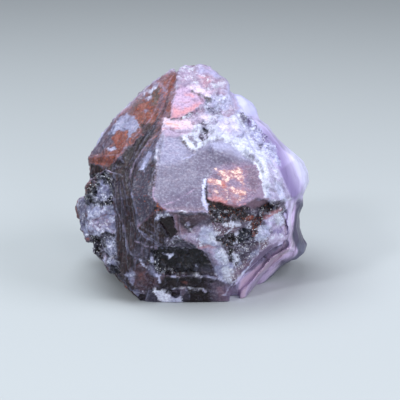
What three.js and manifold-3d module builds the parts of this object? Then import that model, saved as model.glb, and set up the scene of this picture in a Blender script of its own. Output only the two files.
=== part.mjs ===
// Amethyst point: a stubby quartz crystal lying on its side, its many-faced tip towards -Y and its broken root towards
// +Y. One piece of stone, so one mesh. Millimetres, +Z up, origin under the middle of the bounding box.
//
// The stone is drawn in a frame of its own, looking at the tip along the crystal's axis: u runs right, v runs up, and
// w is the depth behind the tip. It is then fanned out, tipped back by TILT and cut flat where it rests.

import * as THREE from "three";
import { ConvexGeometry } from "three/addons/geometries/ConvexGeometry.js";
import { SimplexNoise } from "three/addons/math/SimplexNoise.js";
import { mergeVertices } from "three/addons/utils/BufferGeometryUtils.js";
import Module from "manifold-3d";

const wasm = await Module();
wasm.setup();

// ---- Driving dimensions -------------------------------------------------------------------------------------------

const TILT = THREE.MathUtils.degToRad(16); // how far the crystal's axis dips towards its tip
const SPLAY = 400; // the growth fans out towards the root, as if from a point this far in front of the tip
const SPLAY_CENTRE = new THREE.Vector2(1.8, 27.1); // (u, v) of the line that it fans out from
const REST = 18.3; // depth w at which the underside meets the ground, at v = 0
const BURIED = 34; // depth that the small growths of the tip reach inside the stone
const WANDER = { near: 14, far: 34, slight: 0.15, strong: 0.8, span: 8 }; // how far the sides stray from straight

// A repeatable run of numbers between 0 and 1.
function seeded(seed) {
  let state = seed;
  return () => {
    state = (state * 16807) % 2147483647;
    return state / 2147483647;
  };
}

// ---- Solids -------------------------------------------------------------------------------------------------------

function solidOf(geometry) {
  const bare = new THREE.BufferGeometry();
  bare.setAttribute("position", geometry.getAttribute("position"));
  if (geometry.index) bare.setIndex(geometry.index);
  const merged = mergeVertices(bare, 1e-4);
  return new wasm.Manifold(
    new wasm.Mesh({
      numProp: 3,
      vertProperties: new Float32Array(merged.getAttribute("position").array),
      triVerts: new Uint32Array(merged.index.array),
    }),
  );
}

function geometryOf(solid) {
  const { vertProperties, triVerts } = solid.getMesh();
  const geometry = new THREE.BufferGeometry();
  geometry.setAttribute("position", new THREE.BufferAttribute(Float32Array.from(vertProperties), 3));
  geometry.setIndex(new THREE.BufferAttribute(Uint32Array.from(triVerts), 1));
  return geometry;
}

// Nothing that grew is quite straight: sides stray a little, and more so the older they are.
const noise = new SimplexNoise({ random: seeded(90210) });

function strayed(u, v, w) {
  const reach = THREE.MathUtils.lerp(WANDER.slight, WANDER.strong, THREE.MathUtils.smoothstep(w, WANDER.near, WANDER.far));
  const [x, y, z] = [u / WANDER.span, v / WANDER.span, w / WANDER.span];
  return [u + reach * noise.noise3d(x, y, z), v + reach * noise.noise3d(y + 40, z, x), w];
}

// A crystal column: an outline seen from the tip, carried through `rings` of [depth, scale about the centre] from front
// to back.
function column({ outline, rings, centre = [0, 28] }) {
  const steps = rings.length - 1;
  const shape = new THREE.Shape(outline.map(([u, v]) => new THREE.Vector2(u, v)));
  const geometry = new THREE.ExtrudeGeometry(shape, { depth: steps, steps, bevelEnabled: false });
  const position = geometry.getAttribute("position");
  for (let i = 0; i < position.count; i++) {
    const [depth, scale] = rings[steps - Math.round(position.getZ(i))];
    const [u, v] = [position.getX(i), position.getY(i)].map((along, k) => centre[k] + (along - centre[k]) * scale);
    const [x, y, w] = strayed(u, v, depth);
    position.setXYZ(i, x, y, -w);
  }
  return solidOf(geometry);
}

// The rings of a straight column, and of one that swells out of a rounded front, `inset` narrower than its sides.
const RING_SPACING = 7;
const straight = (from, to) => {
  const count = Math.ceil((to - from) / RING_SPACING);
  return Array.from({ length: count + 1 }, (_, k) => [from + ((to - from) * k) / count, 1]);
};
const swelling = (from, deep, inset, ...behind) => [
  ...[0, 1, 2, 3].map((k) => (k * Math.PI) / 8).map((turn) => [
    from + deep * (1 - Math.cos(turn)),
    1 - inset * (1 - Math.sin(turn)),
  ]),
  [from + deep, 1],
  ...behind,
];

// A flat face passes through a corner (u, v, w) and falls back by `right` for each millimetre to the right and by `up`
// for each millimetre up. `trimmed` takes off what lies in front of such faces, `broken` what lies behind them.
function facePlane([u, v, w, right, up]) {
  const normal = new THREE.Vector3(right, up, 1).normalize();
  return { normal, offset: normal.dot(new THREE.Vector3(u, v, -w)) };
}

function trimmed(solid, faces = []) {
  return faces.map(facePlane).reduce((kept, { normal, offset }) => {
    return kept.trimByPlane(normal.clone().negate().toArray(), -offset);
  }, solid);
}

function broken(solid, backs = []) {
  return backs.map(facePlane).reduce((kept, { normal, offset }) => kept.trimByPlane(normal.toArray(), offset), solid);
}

const grown = (growth) => broken(trimmed(column(growth), growth.faces), growth.backs);

// The same face standing proud by `by`, as a growth step does.
const proud = ([u, v, w, right, up], by) => [u, v, w - by, right, up];

// ---- The faces of the tip ------------------------------------------------------------------------------------------

// The three main faces meet at the tip.
const TIP = [-7.7, 24.3, 0];
const UPPER_FACE = [...TIP, 0.1, 0.85];
const LOWER_FACE = [...TIP, 0.05, -0.75];
const LEFT_FACE = [-10.4, 28.1, 2.96, -1.0, 1.06];
const LOWER_LEFT_FACE = [-10.4, 28.1, 2.96, -0.9, -0.15];
const LOWER_RIGHT_FACE = [3.9, 23.8, 1.0, 0.66, -0.55];
const RIGHT_SHOULDER_FACE = [17, 32, 8.5, 0.95, 0.55];
const FLANK_FACE = [-16.6, 41, 22.4, -0.8, 1.0];

const CORE = {
  outline: [
    [-3.7, 60.3], [9.7, 54.9], [10.2, 51], [12.4, 47.3], [13.6, 43.7], [16, 39.3], [20, 37.5], [21.8, 33.9],
    [23.6, 30.8], [25.6, 27.6], [24.5, 25], [22.9, 23.6], [22.3, 20.9], [23.6, 17.4], [23.4, 15.8], [20.5, 14.7],
    [17.8, 12.4], [15.6, 10.2], [12.9, 7.5], [9.9, 3.5], [9.1, -6], [-11.3, -6], [-14.4, 1.7], [-16.6, 3.9],
    [-19.8, 8], [-20, 14.7], [-19.5, 21.4], [-21.1, 28.1], [-21.1, 31.7], [-19.8, 35.7], [-16.6, 41], [-14, 45.5],
    [-9.5, 51.8], [-5.9, 57.2],
  ],
  rings: straight(-2, 40),
  faces: [UPPER_FACE, LOWER_FACE, LEFT_FACE, LOWER_LEFT_FACE, LOWER_RIGHT_FACE, RIGHT_SHOULDER_FACE],
};

// The steps and lumps that stand on the faces of the tip.
const TIP_GROWTHS = [
  // The copper-flecked step, whose lower edge overhangs.
  {
    outline: [
      [3.5, 31.9], [3.9, 27.2], [5.7, 26.5], [8.4, 25.9], [12, 25.3], [14.2, 25.9], [16.5, 27.3], [20.6, 26.6],
      [19.4, 31], [17.6, 37], [10.2, 38], [5.7, 36],
    ],
    rings: straight(-2, 20),
    faces: [[10, 25.5, 1.4, 0.12, 0.98], proud(RIGHT_SHOULDER_FACE, 0.9)],
  },
  // The rounded summit and the pink step under it.
  {
    outline: [
      [-4, 60.4], [-2.3, 61.8], [-0.1, 61.7], [1.3, 62.3], [3.9, 62], [6.6, 60.1], [8.4, 57.6], [9.7, 54.9],
      [10.2, 51.3], [8, 48], [3, 50], [2.4, 53.6], [-1, 55.6], [-4.3, 56.5],
    ],
    rings: [[10, 1], [38, 1], [44, 0.96], [50, 0.9]],
    faces: [[-4, 56, 26.2, 0.12, 0.86], [5, 55, 26.4, 0.9, 0.8], [-1, 60, 29.6, 0.1, 1.9]],
    backs: [[0, 61, 42, -0.2, -0.7]],
  },
  {
    outline: [
      [-5.3, 53.1], [-4.1, 56], [-1.4, 56], [1.3, 54.7], [3.5, 53.1], [2.1, 51.3], [-0.5, 49.8], [-3.2, 48.4],
      [-5.9, 48.4],
    ],
    rings: straight(8, BURIED),
    faces: [[-5, 48.5, 20.1, 0.05, 0.84]],
  },
  // The pale ridge under the pink step, the white shoulder to its right and the chip below them.
  {
    outline: [
      [-7.4, 46.6], [-6.6, 48.2], [-1, 48.2], [3.4, 50.2], [6, 49.4], [4, 46.6], [0.4, 45.6], [-4, 45.2],
    ],
    rings: straight(8, BURIED),
    faces: [[-5, 46, 18.0, 0.08, 0.82], [-1, 46, 17.9, 0.1, 0.3]],
  },
  {
    outline: [
      [3.9, 47.3], [7.1, 49.6], [10.4, 50.4], [12.4, 47.3], [13.6, 43.7], [15, 41.1], [11.1, 42], [7.5, 42.8],
      [4.4, 41.7], [2.6, 42.8], [3, 45.5],
    ],
    rings: straight(8, BURIED),
    faces: [[8, 45, 18.0, 0.1, 0.8], [11, 45, 18.4, 0.7, 0.7], [6, 43, 16.1, 0.0, 0.2]],
  },
  {
    outline: [[-3.4, 43.8], [-2.5, 44], [0.2, 41.4], [2.6, 42.8], [4.4, 41.7], [1.2, 39.3], [-0.6, 40.5]],
    rings: straight(4, BURIED),
    faces: [proud(UPPER_FACE, 0.6)],
  },
  // The crusted right edge.
  {
    outline: [
      [14.7, 41.1], [16, 39.3], [20, 37.5], [21.8, 33.9], [23.6, 30.8], [25.6, 27.6], [22.4, 26.6], [20.2, 27],
      [19, 32.1], [17.4, 37], [13.5, 40],
    ],
    rings: straight(2, BURIED),
    faces: [[17, 32, 7.4, 0.8, 0.55], [21, 32, 10.6, 1.3, 0.8], proud(UPPER_FACE, 1.2)],
  },
  // Growth lines that run down the left face and turn under it.
  {
    outline: [
      [-5.2, 52.5], [-9.5, 43.7], [-15.3, 34.8], [-16.8, 32.1], [-15.3, 26.2], [-14.4, 20.2], [-9.3, 25.6],
      [-9.5, 26.8], [-10.4, 28.1], [-10.3, 30.3], [-9.5, 33.9], [-9.4, 37.5], [-8.8, 41.1], [-8.1, 45.1],
      [-5.9, 48.7],
    ],
    rings: straight(-2, BURIED),
    faces: [proud(LEFT_FACE, 1.5), proud(LOWER_LEFT_FACE, 1.0), proud(UPPER_FACE, 0.1)],
  },
  {
    outline: [
      [-7.2, 50.5], [-12, 43], [-17.2, 35.3], [-18.4, 32.2], [-17, 26], [-16, 20], [-17, 13], [-12, 12],
      [-10, 24], [-12, 30], [-11, 38], [-7, 46],
    ],
    rings: straight(-2, BURIED),
    faces: [proud(LEFT_FACE, 0.8), proud(LOWER_LEFT_FACE, 0.55), proud(LOWER_FACE, 0.2)],
  },
  {
    outline: [[-14.2, 19.8], [-9.6, 25], [-8.4, 22], [-6.2, 18.5], [-6.8, 14.4], [-10, 16], [-12.6, 17.4]],
    rings: straight(-2, BURIED),
    faces: [proud(LOWER_LEFT_FACE, 0.7), proud(LOWER_FACE, 0.7)],
  },
  // The pale ridge that runs from the tip down to the right.
  {
    outline: [
      [-3.7, 23.6], [3.9, 23.6], [5.4, 19], [7, 15.4], [8.4, 12.6], [9.7, 10.4], [12.9, 7.5], [9.7, 3.5],
      [7.5, 6.2], [4.8, 10.6], [3.5, 13.3], [0.4, 14.7], [-3.2, 16.9], [-3.7, 21.4],
    ],
    rings: straight(-2, BURIED),
    faces: [proud(LOWER_RIGHT_FACE, 0.9), [-3.7, 21.4, 1.6, 0.12, -0.72]],
  },
];

// Ledges at the foot of the tip. They stand in front of the dark window, so they are added after it is cut.
const LEDGES = [
  {
    outline: [
      [-10.5, 8.2], [-7, 7.6], [-2, 7.4], [4, 7.7], [8.5, 5.8], [9.3, 3.5], [6, 3.6], [0, 3.9], [-6, 3.9], [-10, 5],
    ],
    rings: straight(4, BURIED),
    faces: [[0, 7.5, 11.3, 0.05, -0.72]],
  },
  {
    outline: [[-3.2, 3.9], [3.5, 3.7], [6, 3.2], [9.6, 3], [9.1, -6], [-4, -6], [-3.6, 1.5]],
    rings: straight(4, BURIED),
    faces: [[0, 3.7, 13.7, 0.05, -0.8]],
  },
  {
    outline: [[-11.7, 3.9], [-9, 4], [-7, 3], [-5, 1.8], [-3.5, 1], [-4, -6], [-10, -6], [-12.5, 1]],
    rings: straight(4, BURIED),
    faces: [[-8, 2, 15.2, -0.1, -0.7]],
  },
];

// ---- The left side --------------------------------------------------------------------------------------------------

const LEFT_GROWTHS = [
  // The red upper flank and its foot.
  {
    outline: [
      [-5, 61], [-7.7, 59.4], [-10.8, 57.2], [-13.5, 54.9], [-16.6, 51.8], [-18.9, 49.1], [-20.7, 46.9],
      [-22.9, 43.7], [-25.6, 40.6], [-27.1, 38.4], [-27, 36.6], [-23, 35], [-14, 36], [-5, 48], [-2, 58],
    ],
    rings: [[12, 1], [41, 1], [44, 0.985], [50, 0.97], [52, 0.94], [60, 0.9]],
    faces: [FLANK_FACE],
  },
  {
    outline: [
      [-20.4, 47.8], [-17, 50.6], [-14.6, 48], [-13.4, 44.6], [-15.8, 43.2], [-17.6, 41.8], [-18.5, 45],
      [-21.5, 44.8],
    ],
    rings: straight(12, 44),
    faces: [proud(FLANK_FACE, 0.5)],
  },
  {
    outline: [[-21.2, 44.4], [-17.2, 45.4], [-17.2, 41], [-19.6, 38.2], [-23.4, 38.4], [-23.6, 41.4]],
    rings: straight(12, 44),
    faces: [proud(FLANK_FACE, 0.9)],
  },
  {
    outline: [[-27.1, 38.4], [-27, 34.8], [-26.5, 32.1], [-18.5, 30], [-16.3, 34.5], [-19.1, 39]],
    rings: [[12, 1], [36, 1], [46, 0.95]],
    faces: [[-22, 36, 22.6, -0.9, -0.3]],
  },
  // The dark knob, the pale druse under it and the rim behind them.
  {
    outline: [[-27.8, 30.8], [-26.5, 32.6], [-23, 34.6], [-18.1, 33.5], [-17.2, 26], [-22, 25.2], [-27.8, 26.2]],
    rings: straight(8, 46),
    faces: [[-21, 30, 15.6, -0.5, 0.35], [-25, 30, 18.0, -0.9, 0.5]],
    backs: [[-24, 30, 33, 1.1, 0.1]],
  },
  {
    outline: [[-27.3, 27.4], [-22, 28.4], [-17, 26], [-16, 18], [-22, 16.2], [-26.8, 18.3]],
    rings: straight(8, 46),
    faces: [[-20, 21, 14, -0.45, 0.12], [-21, 18.5, 14.2, -0.5, -0.6], [-24, 24, 16.4, -0.5, 0.5]],
    backs: [[-24, 22, 36, 1.2, -0.1]],
  },
  {
    outline: [[-29.4, 27.2], [-29.8, 25], [-29.4, 22.3], [-28.7, 19.6], [-27.1, 16.5], [-22, 16], [-22, 28]],
    rings: straight(12, 54),
    faces: [[-26, 22, 19.4, -0.7, 0.05]],
    backs: [[-28, 22, 40, 1.4, 0.2]],
  },
  // The pale wedge at the foot.
  {
    outline: [[-25, 17.6], [-20.3, 18.4], [-16, 14], [-16.6, 7.4], [-21.6, 8.9], [-23.5, 11.8], [-25.8, 13.5]],
    rings: straight(8, 50),
    faces: [[-20, 15, 13.6, -0.62, -0.22]],
    backs: [[-22, 13, 42, 0.9, 0.5]],
  },
];

// ---- The right side -------------------------------------------------------------------------------------------------

const RIGHT_GROWTHS = [
  // The smooth purple flank behind the crusted edge.
  {
    outline: [
      [9.5, 50.5], [12.6, 49.6], [16.4, 48.2], [19.1, 46.4], [21.8, 43.1], [24.1, 40.6], [26.7, 38.8], [28.5, 36.6],
      [29.5, 33.9], [29.9, 31.4], [29.2, 29], [28, 27.2], [20, 25], [4, 30], [2, 44],
    ],
    rings: swelling(12, 17, 0.36, [36, 0.99], [39, 1], [48, 0.975], [58, 0.9]),
    centre: [12, 34],
    faces: [[14, 45, 21.3, 0.5, 1.0], [22, 35, 15, 1.0, 0.3]],
  },
  // The folds under it, each further back than the one above.
  {
    outline: [
      [25.5, 29], [28.1, 28.6], [26.2, 25], [25.4, 22.6], [25.7, 19.6], [26, 16.9], [26.3, 14.2], [23.2, 13.2],
      [20.5, 11.1], [17.8, 8], [15.1, 3.4], [13, 0], [9, -6], [2, -6], [4, 20],
    ],
    rings: swelling(19, 5, 0.1, [31, 1], [40, 0.97]),
    centre: [12, 20],
  },
  {
    outline: [
      [26, 34], [29, 29], [28.8, 25.9], [27.9, 23.2], [27.4, 20], [28, 17.8], [28.9, 15.6], [28.6, 13.3],
      [26.7, 12], [23.6, 10.6], [20.9, 8.2], [18.2, 5.7], [15, 2], [8, 4], [10, 28],
    ],
    rings: swelling(30, 6, 0.1, [46, 0.99], [52, 0.95], [60, 0.9]),
    centre: [14, 20],
  },
  // The pale lobe behind the shoulder.
  {
    outline: [[7, 54], [10.4, 54.6], [12.9, 54.2], [14.9, 52.6], [16.3, 50.4], [17, 47.6], [13, 40], [5, 44]],
    rings: swelling(29, 7, 0.45, [44, 0.97], [52, 0.86]),
    centre: [9, 46],
  },
];

// ---- The body and its root ------------------------------------------------------------------------------------------

// The sides of the body carry ledges across the axis, as a quartz prism's do.
const BODY = {
  outline: [
    [-4, 59.5], [3, 60.5], [8.2, 55.6], [15, 47.4], [20, 43.4], [27, 35.6], [28, 29], [26.6, 21], [27.4, 15],
    [21, 8.4], [12, -2], [0, -6], [-11, -4], [-18.6, 7], [-24.6, 13.6], [-28.2, 20], [-28.4, 26], [-26, 34],
    [-26, 38.4], [-19, 48], [-10.6, 56.4],
  ],
  rings: [
    [24, 0.7], [29, 0.9], [34, 0.97], [37, 0.955], [38, 0.985], [43, 0.975], [44, 0.995], [49, 0.975], [50, 0.95],
    [55, 0.93], [56, 0.9], [70, 0.86],
  ],
};

// The breaks that parted the stone from its bed.
const ROOT_BREAKS = [
  [2, 30, 64, -0.08, 0.12],
  [0, 46, 57, 0.12, -0.95],
  [20, 34, 54, -0.95, -0.2],
  [-19, 36, 54, 0.85, -0.3],
  [17, 13, 54, -0.7, 0.55],
  [-17, 14, 55, 0.75, 0.4],
];

// Chips out of the broken root, each down to a face of its own.
const ROOT_CHIPS = [
  { outline: [[-24, 42], [-8, 48], [-2, 34], [-12, 28], [-26, 32]], face: [-12, 36, 57.2, 0.4, -0.25] },
  { outline: [[-2, 34], [10, 42], [14, 28], [4, 22]], face: [4, 30, 60.6, -0.2, 0.3] },
  { outline: [[10, 42], [30, 38], [30, 20], [14, 28]], face: [18, 30, 53.4, -0.75, 0.25] },
  { outline: [[-12, 28], [-2, 34], [4, 22], [-4, 14], [-16, 18]], face: [-4, 24, 61, 0.3, 0.1] },
  { outline: [[4, 22], [14, 28], [28, 18], [12, 6]], face: [12, 18, 57.2, -0.5, 0.35] },
  { outline: [[-30, 30], [-12, 28], [-16, 18], [-30, 12]], face: [-18, 24, 55.4, 0.6, 0.2] },
];

// Each chip is a little larger than its outline, so that it runs into its neighbours.
const chip = ({ outline, face }) => {
  return trimmed(column({ outline, rings: [[44, 1.06], [84, 1.06]], centre: face.slice(0, 2) }), [face]);
};

// ---- Hollows, cuts and clefts ----------------------------------------------------------------------------------------

// A rounded hollow around (u, v, w), as wide, high and deep as given.
function hollow([u, v, w], [wide, high, deep], turn = 0) {
  const geometry = new THREE.IcosahedronGeometry(1, 2);
  geometry.scale(wide, high, deep);
  geometry.rotateZ(turn);
  geometry.translate(u, v, -w);
  return solidOf(geometry);
}

const HOLLOWS = [
  // Pits beside the white shoulder.
  [[2.4, 45.2, 17.6], [1.2, 1.5, 1.8], 0.3],
  [[1.4, 47.4, 19.6], [2.0, 1.0, 1.2], 0.4],
  // The dark holes of the left side.
  [[-24.9, 15.4, 17.2], [1.5, 2.2, 2.6], 0.5],
  [[-19.9, 7.8, 15.4], [1.2, 1.6, 2.4], 0.2],
  [[-28.6, 20.6, 21.4], [0.8, 1, 1.6], 0],
  // Shell-shaped breaks in the root.
  [[-11, 45, 66], [13, 9, 13], 0.4],
  [[17, 38, 67], [11, 14, 14], 0.2],
  [[3, 18, 72], [9, 7, 13], 0.6],
];

// Cuts let into the tip: an outline and the floor that it is cut down to.
const CUTS = [
  // The dark window under the tip.
  {
    outline: [
      [-10.4, 14.2], [-7.7, 14.5], [-3.2, 14.4], [1.3, 14.4], [3.5, 13.2], [4.8, 10.6], [5.7, 8.1], [-3.2, 7.7],
      [-9.5, 8.4], [-11, 10.6],
    ],
    floor: [-3, 14.4, 9.6, 0.05, -0.42],
  },
  // The facet sunk under the tip.
  {
    outline: [[-9.1, 22.6], [-5.2, 23.1], [-4.4, 19.4], [-5.2, 17.7], [-6.8, 18.5], [-8.5, 21]],
    floor: [-7, 22.8, 2.2, 0.1, -0.6],
  },
  // The dark pitted hollows under the copper step.
  {
    outline: [
      [3.9, 26.9], [5.7, 26.6], [8.4, 26], [12, 25.4], [14.2, 26], [16.5, 27.4], [21.4, 26.7], [20.5, 23.6],
      [18.2, 22.3], [12.9, 21.4], [8.4, 20.9], [5.7, 21.4], [4.4, 23.6],
    ],
    floor: proud(LOWER_RIGHT_FACE, -1.3),
  },
  {
    outline: [[6.6, 16.9], [10.2, 18.7], [12, 20], [16, 19.6], [15.6, 16.5], [12.9, 14.2], [9.7, 13.3], [7.5, 14.7]],
    floor: proud(LOWER_RIGHT_FACE, -1.2),
  },
  { outline: [[8.4, 13], [10.8, 12.9], [10.6, 11], [9.3, 10.4]], floor: proud(LOWER_RIGHT_FACE, -1) },
  // The dark groove that parts the rim of the tip from the folds of the right side.
  {
    outline: [
      [25.2, 26.6], [24.4, 21.5], [25, 17.5], [25.2, 15.2], [23.2, 13.8], [20.4, 12.2], [18.3, 10.1], [16.3, 7.7],
      [14.7, 5.7], [12.4, 3.4], [11, -3], [9.2, -3], [9.6, 3.6], [12.8, 7.4], [15.5, 10.1], [17.7, 12.3],
      [20.4, 14.6], [23.3, 15.8], [23.5, 17.4], [22.3, 20.9], [22.9, 23.6], [24.4, 25],
    ],
    floor: [18, 12, 22.6, 0.2, 0],
  },
  // The cleft at the left of the copper step, the crack over the pink step and the one under the pale druse.
  { outline: [[2.5, 32.6], [3.5, 31.9], [3.3, 28], [4, 24], [3, 24.2], [2.2, 28.6]], floor: proud(UPPER_FACE, -1) },
  { outline: [[-0.8, 56.2], [-0.2, 56.4], [4.2, 53.1], [3.7, 52.8]], floor: [0, 56, 27.9, 0.2, 0.8] },
  { outline: [[-24.4, 18.6], [-21, 17.5], [-19.6, 16.8], [-21.2, 18.6]], floor: [-22, 18, 17.6, -0.5, 0] },
];

const cut = ({ outline, floor }) => broken(column({ outline, rings: straight(-4, 40) }), [floor]);

// ---- Small crystals ---------------------------------------------------------------------------------------------------

// One six-sided crystal that stands along `axis` at `foot`.
function smallCrystal(foot, axis, radius, height) {
  const points = [];
  for (let k = 0; k < 6; k++) {
    const [x, y] = [radius * Math.cos((k * Math.PI) / 3), radius * Math.sin((k * Math.PI) / 3)];
    points.push(new THREE.Vector3(x, y, -radius), new THREE.Vector3(x, y, height * 0.3));
  }
  points.push(new THREE.Vector3(0, 0, height));
  const lean = new THREE.Quaternion().setFromUnitVectors(new THREE.Vector3(0, 0, 1), axis);
  return solidOf(new ConvexGeometry(points.map((point) => point.applyQuaternion(lean).add(foot))));
}

// Druse: patches of small crystals. Each patch is an ellipse [u, v, wide, high] with how many crystals grow on it, how
// large they are and how far they stand out.
const DRUSE = [
  { patch: [-23.6, 21.5, 3.2, 3.4], count: 10, radius: 1.5, height: 1.0 },
  { patch: [-24, 29, 2.4, 2.2], count: 5, radius: 1.2, height: 0.9 },
  { patch: [-21.6, 13.4, 1.4, 3.4], count: 5, radius: 1.3, height: 0.9 },
  { patch: [12.5, 23.8, 7.0, 1.6], count: 10, radius: 1.0, height: 1.0 },
  { patch: [11.5, 17, 3.6, 2.0], count: 7, radius: 1.0, height: 1.0 },
  { patch: [19.2, 20, 2.2, 4.4], count: 9, radius: 1.5, height: 1.1 },
  { patch: [21.2, 31, 1.6, 4.2], count: 7, radius: 1.6, height: 0.9 },
  { patch: [8.6, 45.6, 3.4, 2.2], count: 7, radius: 1.8, height: 0.8 },
  { patch: [5.8, 55, 2.4, 4.0], count: 7, radius: 1.8, height: 0.9 },
  { patch: [-2, 9.8, 4.4, 1.2], count: 4, radius: 0.8, height: 0.6 },
];

function druseOn(solid) {
  const surface = new THREE.Mesh(geometryOf(solid), new THREE.MeshStandardMaterial({ side: THREE.DoubleSide }));
  const ray = new THREE.Raycaster();
  const random = seeded(37);
  const crystals = [];
  for (const { patch, count, radius, height } of DRUSE) {
    const [u, v, wide, high] = patch;
    for (let i = 0; i < count; i++) {
      const [around, out] = [random() * 2 * Math.PI, Math.sqrt(random())];
      const from = new THREE.Vector3(u + wide * out * Math.cos(around), v + high * out * Math.sin(around), 20);
      ray.set(from, new THREE.Vector3(0, 0, -1));
      const [hit] = ray.intersectObject(surface);
      const jitter = new THREE.Vector3(random() - 0.5, random() - 0.5, random() - 0.5).multiplyScalar(0.9);
      const size = 0.6 + 0.7 * random();
      const axis = hit.face.normal.clone().add(jitter).normalize();
      crystals.push(smallCrystal(hit.point, axis, radius * size, height * size));
    }
  }
  return crystals;
}

// ---- Assembly in the drawing frame --------------------------------------------------------------------------------------

function stone() {
  let made = grown(BODY).add(grown(CORE));
  for (const growth of [...TIP_GROWTHS, ...LEFT_GROWTHS, ...RIGHT_GROWTHS]) made = made.add(grown(growth));
  for (const recess of CUTS) made = made.subtract(cut(recess));
  for (const ledge of LEDGES) made = made.add(grown(ledge));
  made = broken(made, ROOT_BREAKS);
  for (const lost of ROOT_CHIPS) made = made.subtract(chip(lost));
  for (const [centre, size, turn] of HOLLOWS) made = made.subtract(hollow(centre, size, turn));
  return made;
}

// ---- Laying the stone down ------------------------------------------------------------------------------------------------

// Fans the stone out from its tip, tips it back and rests it on z = 0.
function laidDown(solid) {
  const geometry = geometryOf(solid);
  const position = geometry.getAttribute("position");
  for (let i = 0; i < position.count; i++) {
    const fan = 1 - position.getZ(i) / SPLAY;
    position.setX(i, SPLAY_CENTRE.x + (position.getX(i) - SPLAY_CENTRE.x) * fan);
    position.setY(i, SPLAY_CENTRE.y + (position.getY(i) - SPLAY_CENTRE.y) * fan);
  }
  geometry.rotateX(Math.PI / 2 - TILT);
  geometry.translate(0, 0, REST * Math.sin(TILT));
  const rested = geometryOf(solidOf(geometry).trimByPlane([0, 0, 1], 0));
  rested.computeBoundingBox();
  const middle = rested.boundingBox.getCenter(new THREE.Vector3());
  rested.translate(-middle.x, -middle.y, 0);
  return rested;
}

const bare = stone();
const crusted = druseOn(bare).reduce((made, crystal) => made.add(crystal), bare);

const amethyst = new THREE.MeshStandardMaterial({ color: 0x8d84a3, roughness: 0.5, metalness: 0 });
const point = new THREE.Mesh(laidDown(crusted), amethyst);
point.name = "amethyst_point";

const group = new THREE.Group();
group.add(point);
export default group;
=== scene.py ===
"""Amethyst point: a stubby crystal with frosted and rust-stained faces, druse crusts and purple flanks."""

import math

import bmesh
import bpy
import numpy as np
from mathutils import Matrix, Vector, noise
from mathutils.bvhtree import BVHTree
from mathutils.kdtree import KDTree


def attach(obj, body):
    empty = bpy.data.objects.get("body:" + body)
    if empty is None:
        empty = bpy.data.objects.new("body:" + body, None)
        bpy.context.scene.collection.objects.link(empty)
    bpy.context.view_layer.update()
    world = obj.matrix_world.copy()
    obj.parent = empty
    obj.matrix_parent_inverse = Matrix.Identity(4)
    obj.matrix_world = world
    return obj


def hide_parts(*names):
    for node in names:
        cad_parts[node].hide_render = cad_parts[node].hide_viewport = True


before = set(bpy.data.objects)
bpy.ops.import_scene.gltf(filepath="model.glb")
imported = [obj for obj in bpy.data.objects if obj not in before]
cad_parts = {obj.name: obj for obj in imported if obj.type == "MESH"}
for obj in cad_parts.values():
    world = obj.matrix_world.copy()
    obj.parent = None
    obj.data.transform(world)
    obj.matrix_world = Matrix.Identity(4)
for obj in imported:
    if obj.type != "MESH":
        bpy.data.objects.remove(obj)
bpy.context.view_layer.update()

MM = 0.001

# ---- Where things are on the stone ----
#
# The patches are drawn looking at the tip along the crystal's axis: u runs right, v runs up and w is the
# depth behind the tip, in millimetres. The stone is fanned out behind its tip, tipped back and set down as it
# lies.

TILT = math.radians(16)  # how far the crystal's axis slopes
SPLAY = 400  # how far before the tip the lines that fan out behind it meet
SPLAY_CENTRE = (1.8, 27.1)  # the u and v that the fan opens around
REST = 18.3  # the w at which the underside meets the ground, where v is 0
MIDDLE = (-0.0243, 39.9603)  # what puts the middle of the stone's box over the origin


def laid_down(u, v, w):
    """The place on the lying stone, in metres, of a point of the drawing."""
    return Vector(
        (
            u - MIDDLE[0],
            v * math.sin(TILT) + w * math.cos(TILT) - MIDDLE[1],
            v * math.cos(TILT) - w * math.sin(TILT) + REST * math.sin(TILT),
        )
    ) * MM


EYE = laid_down(*SPLAY_CENTRE, -SPLAY)


def drawn(points):
    """The drawing's u, v and w of points on the lying stone, all in millimetres."""
    x = points[:, 0] + MIDDLE[0]
    y = points[:, 1] + MIDDLE[1]
    z = points[:, 2] - REST * math.sin(TILT)
    up = y * math.sin(TILT) + z * math.cos(TILT)
    w = y * math.cos(TILT) - z * math.sin(TILT)
    fan = 1 + w / SPLAY
    u = SPLAY_CENTRE[0] + (x - SPLAY_CENTRE[0]) / fan
    v = SPLAY_CENTRE[1] + (up - SPLAY_CENTRE[1]) / fan
    return u, v, w


def grain(points, size, shift=0.0):
    """Smooth noise from -1 to 1 with lumps about `size` apart."""
    return np.array([noise.noise(p) for p in (points / size + shift).tolist()])


def cells(points, size):
    """How far each point is from the nearest of scattered centres about `size` apart, from 0 to about 1."""
    return np.array([noise.voronoi(p)[0][0] for p in (points / size).tolist()])


def middles(points, size):
    """The middle of the block, about `size` across, that each point falls in."""
    return np.array([noise.voronoi(p)[1][0] for p in (points / size).tolist()]) * size


def ease(value, low, high):
    """Runs smoothly from 0 where the value is `low` to 1 where it is `high`."""
    share = np.clip((value - low) / (high - low), 0, 1)
    return share * share * (3 - 2 * share)


def depth_inside(u, v, outline):
    """How far each (u, v) lies inside a closed outline, negative outside."""
    nearest = np.full(len(u), np.inf)
    inside = np.zeros(len(u), bool)
    for (start_u, start_v), (end_u, end_v) in zip(outline, outline[1:] + outline[:1]):
        run_u, run_v = end_u - start_u, end_v - start_v
        square = run_u * run_u + run_v * run_v
        along = np.clip(((u - start_u) * run_u + (v - start_v) * run_v) / square, 0, 1)
        nearest = np.minimum(nearest, np.hypot(u - start_u - along * run_u, v - start_v - along * run_v))
        crosses = (start_v > v) != (end_v > v)
        if run_v:
            inside ^= crosses & (u < start_u + run_u * (v - start_v) / run_v)
    return np.where(inside, nearest, -nearest)


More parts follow.
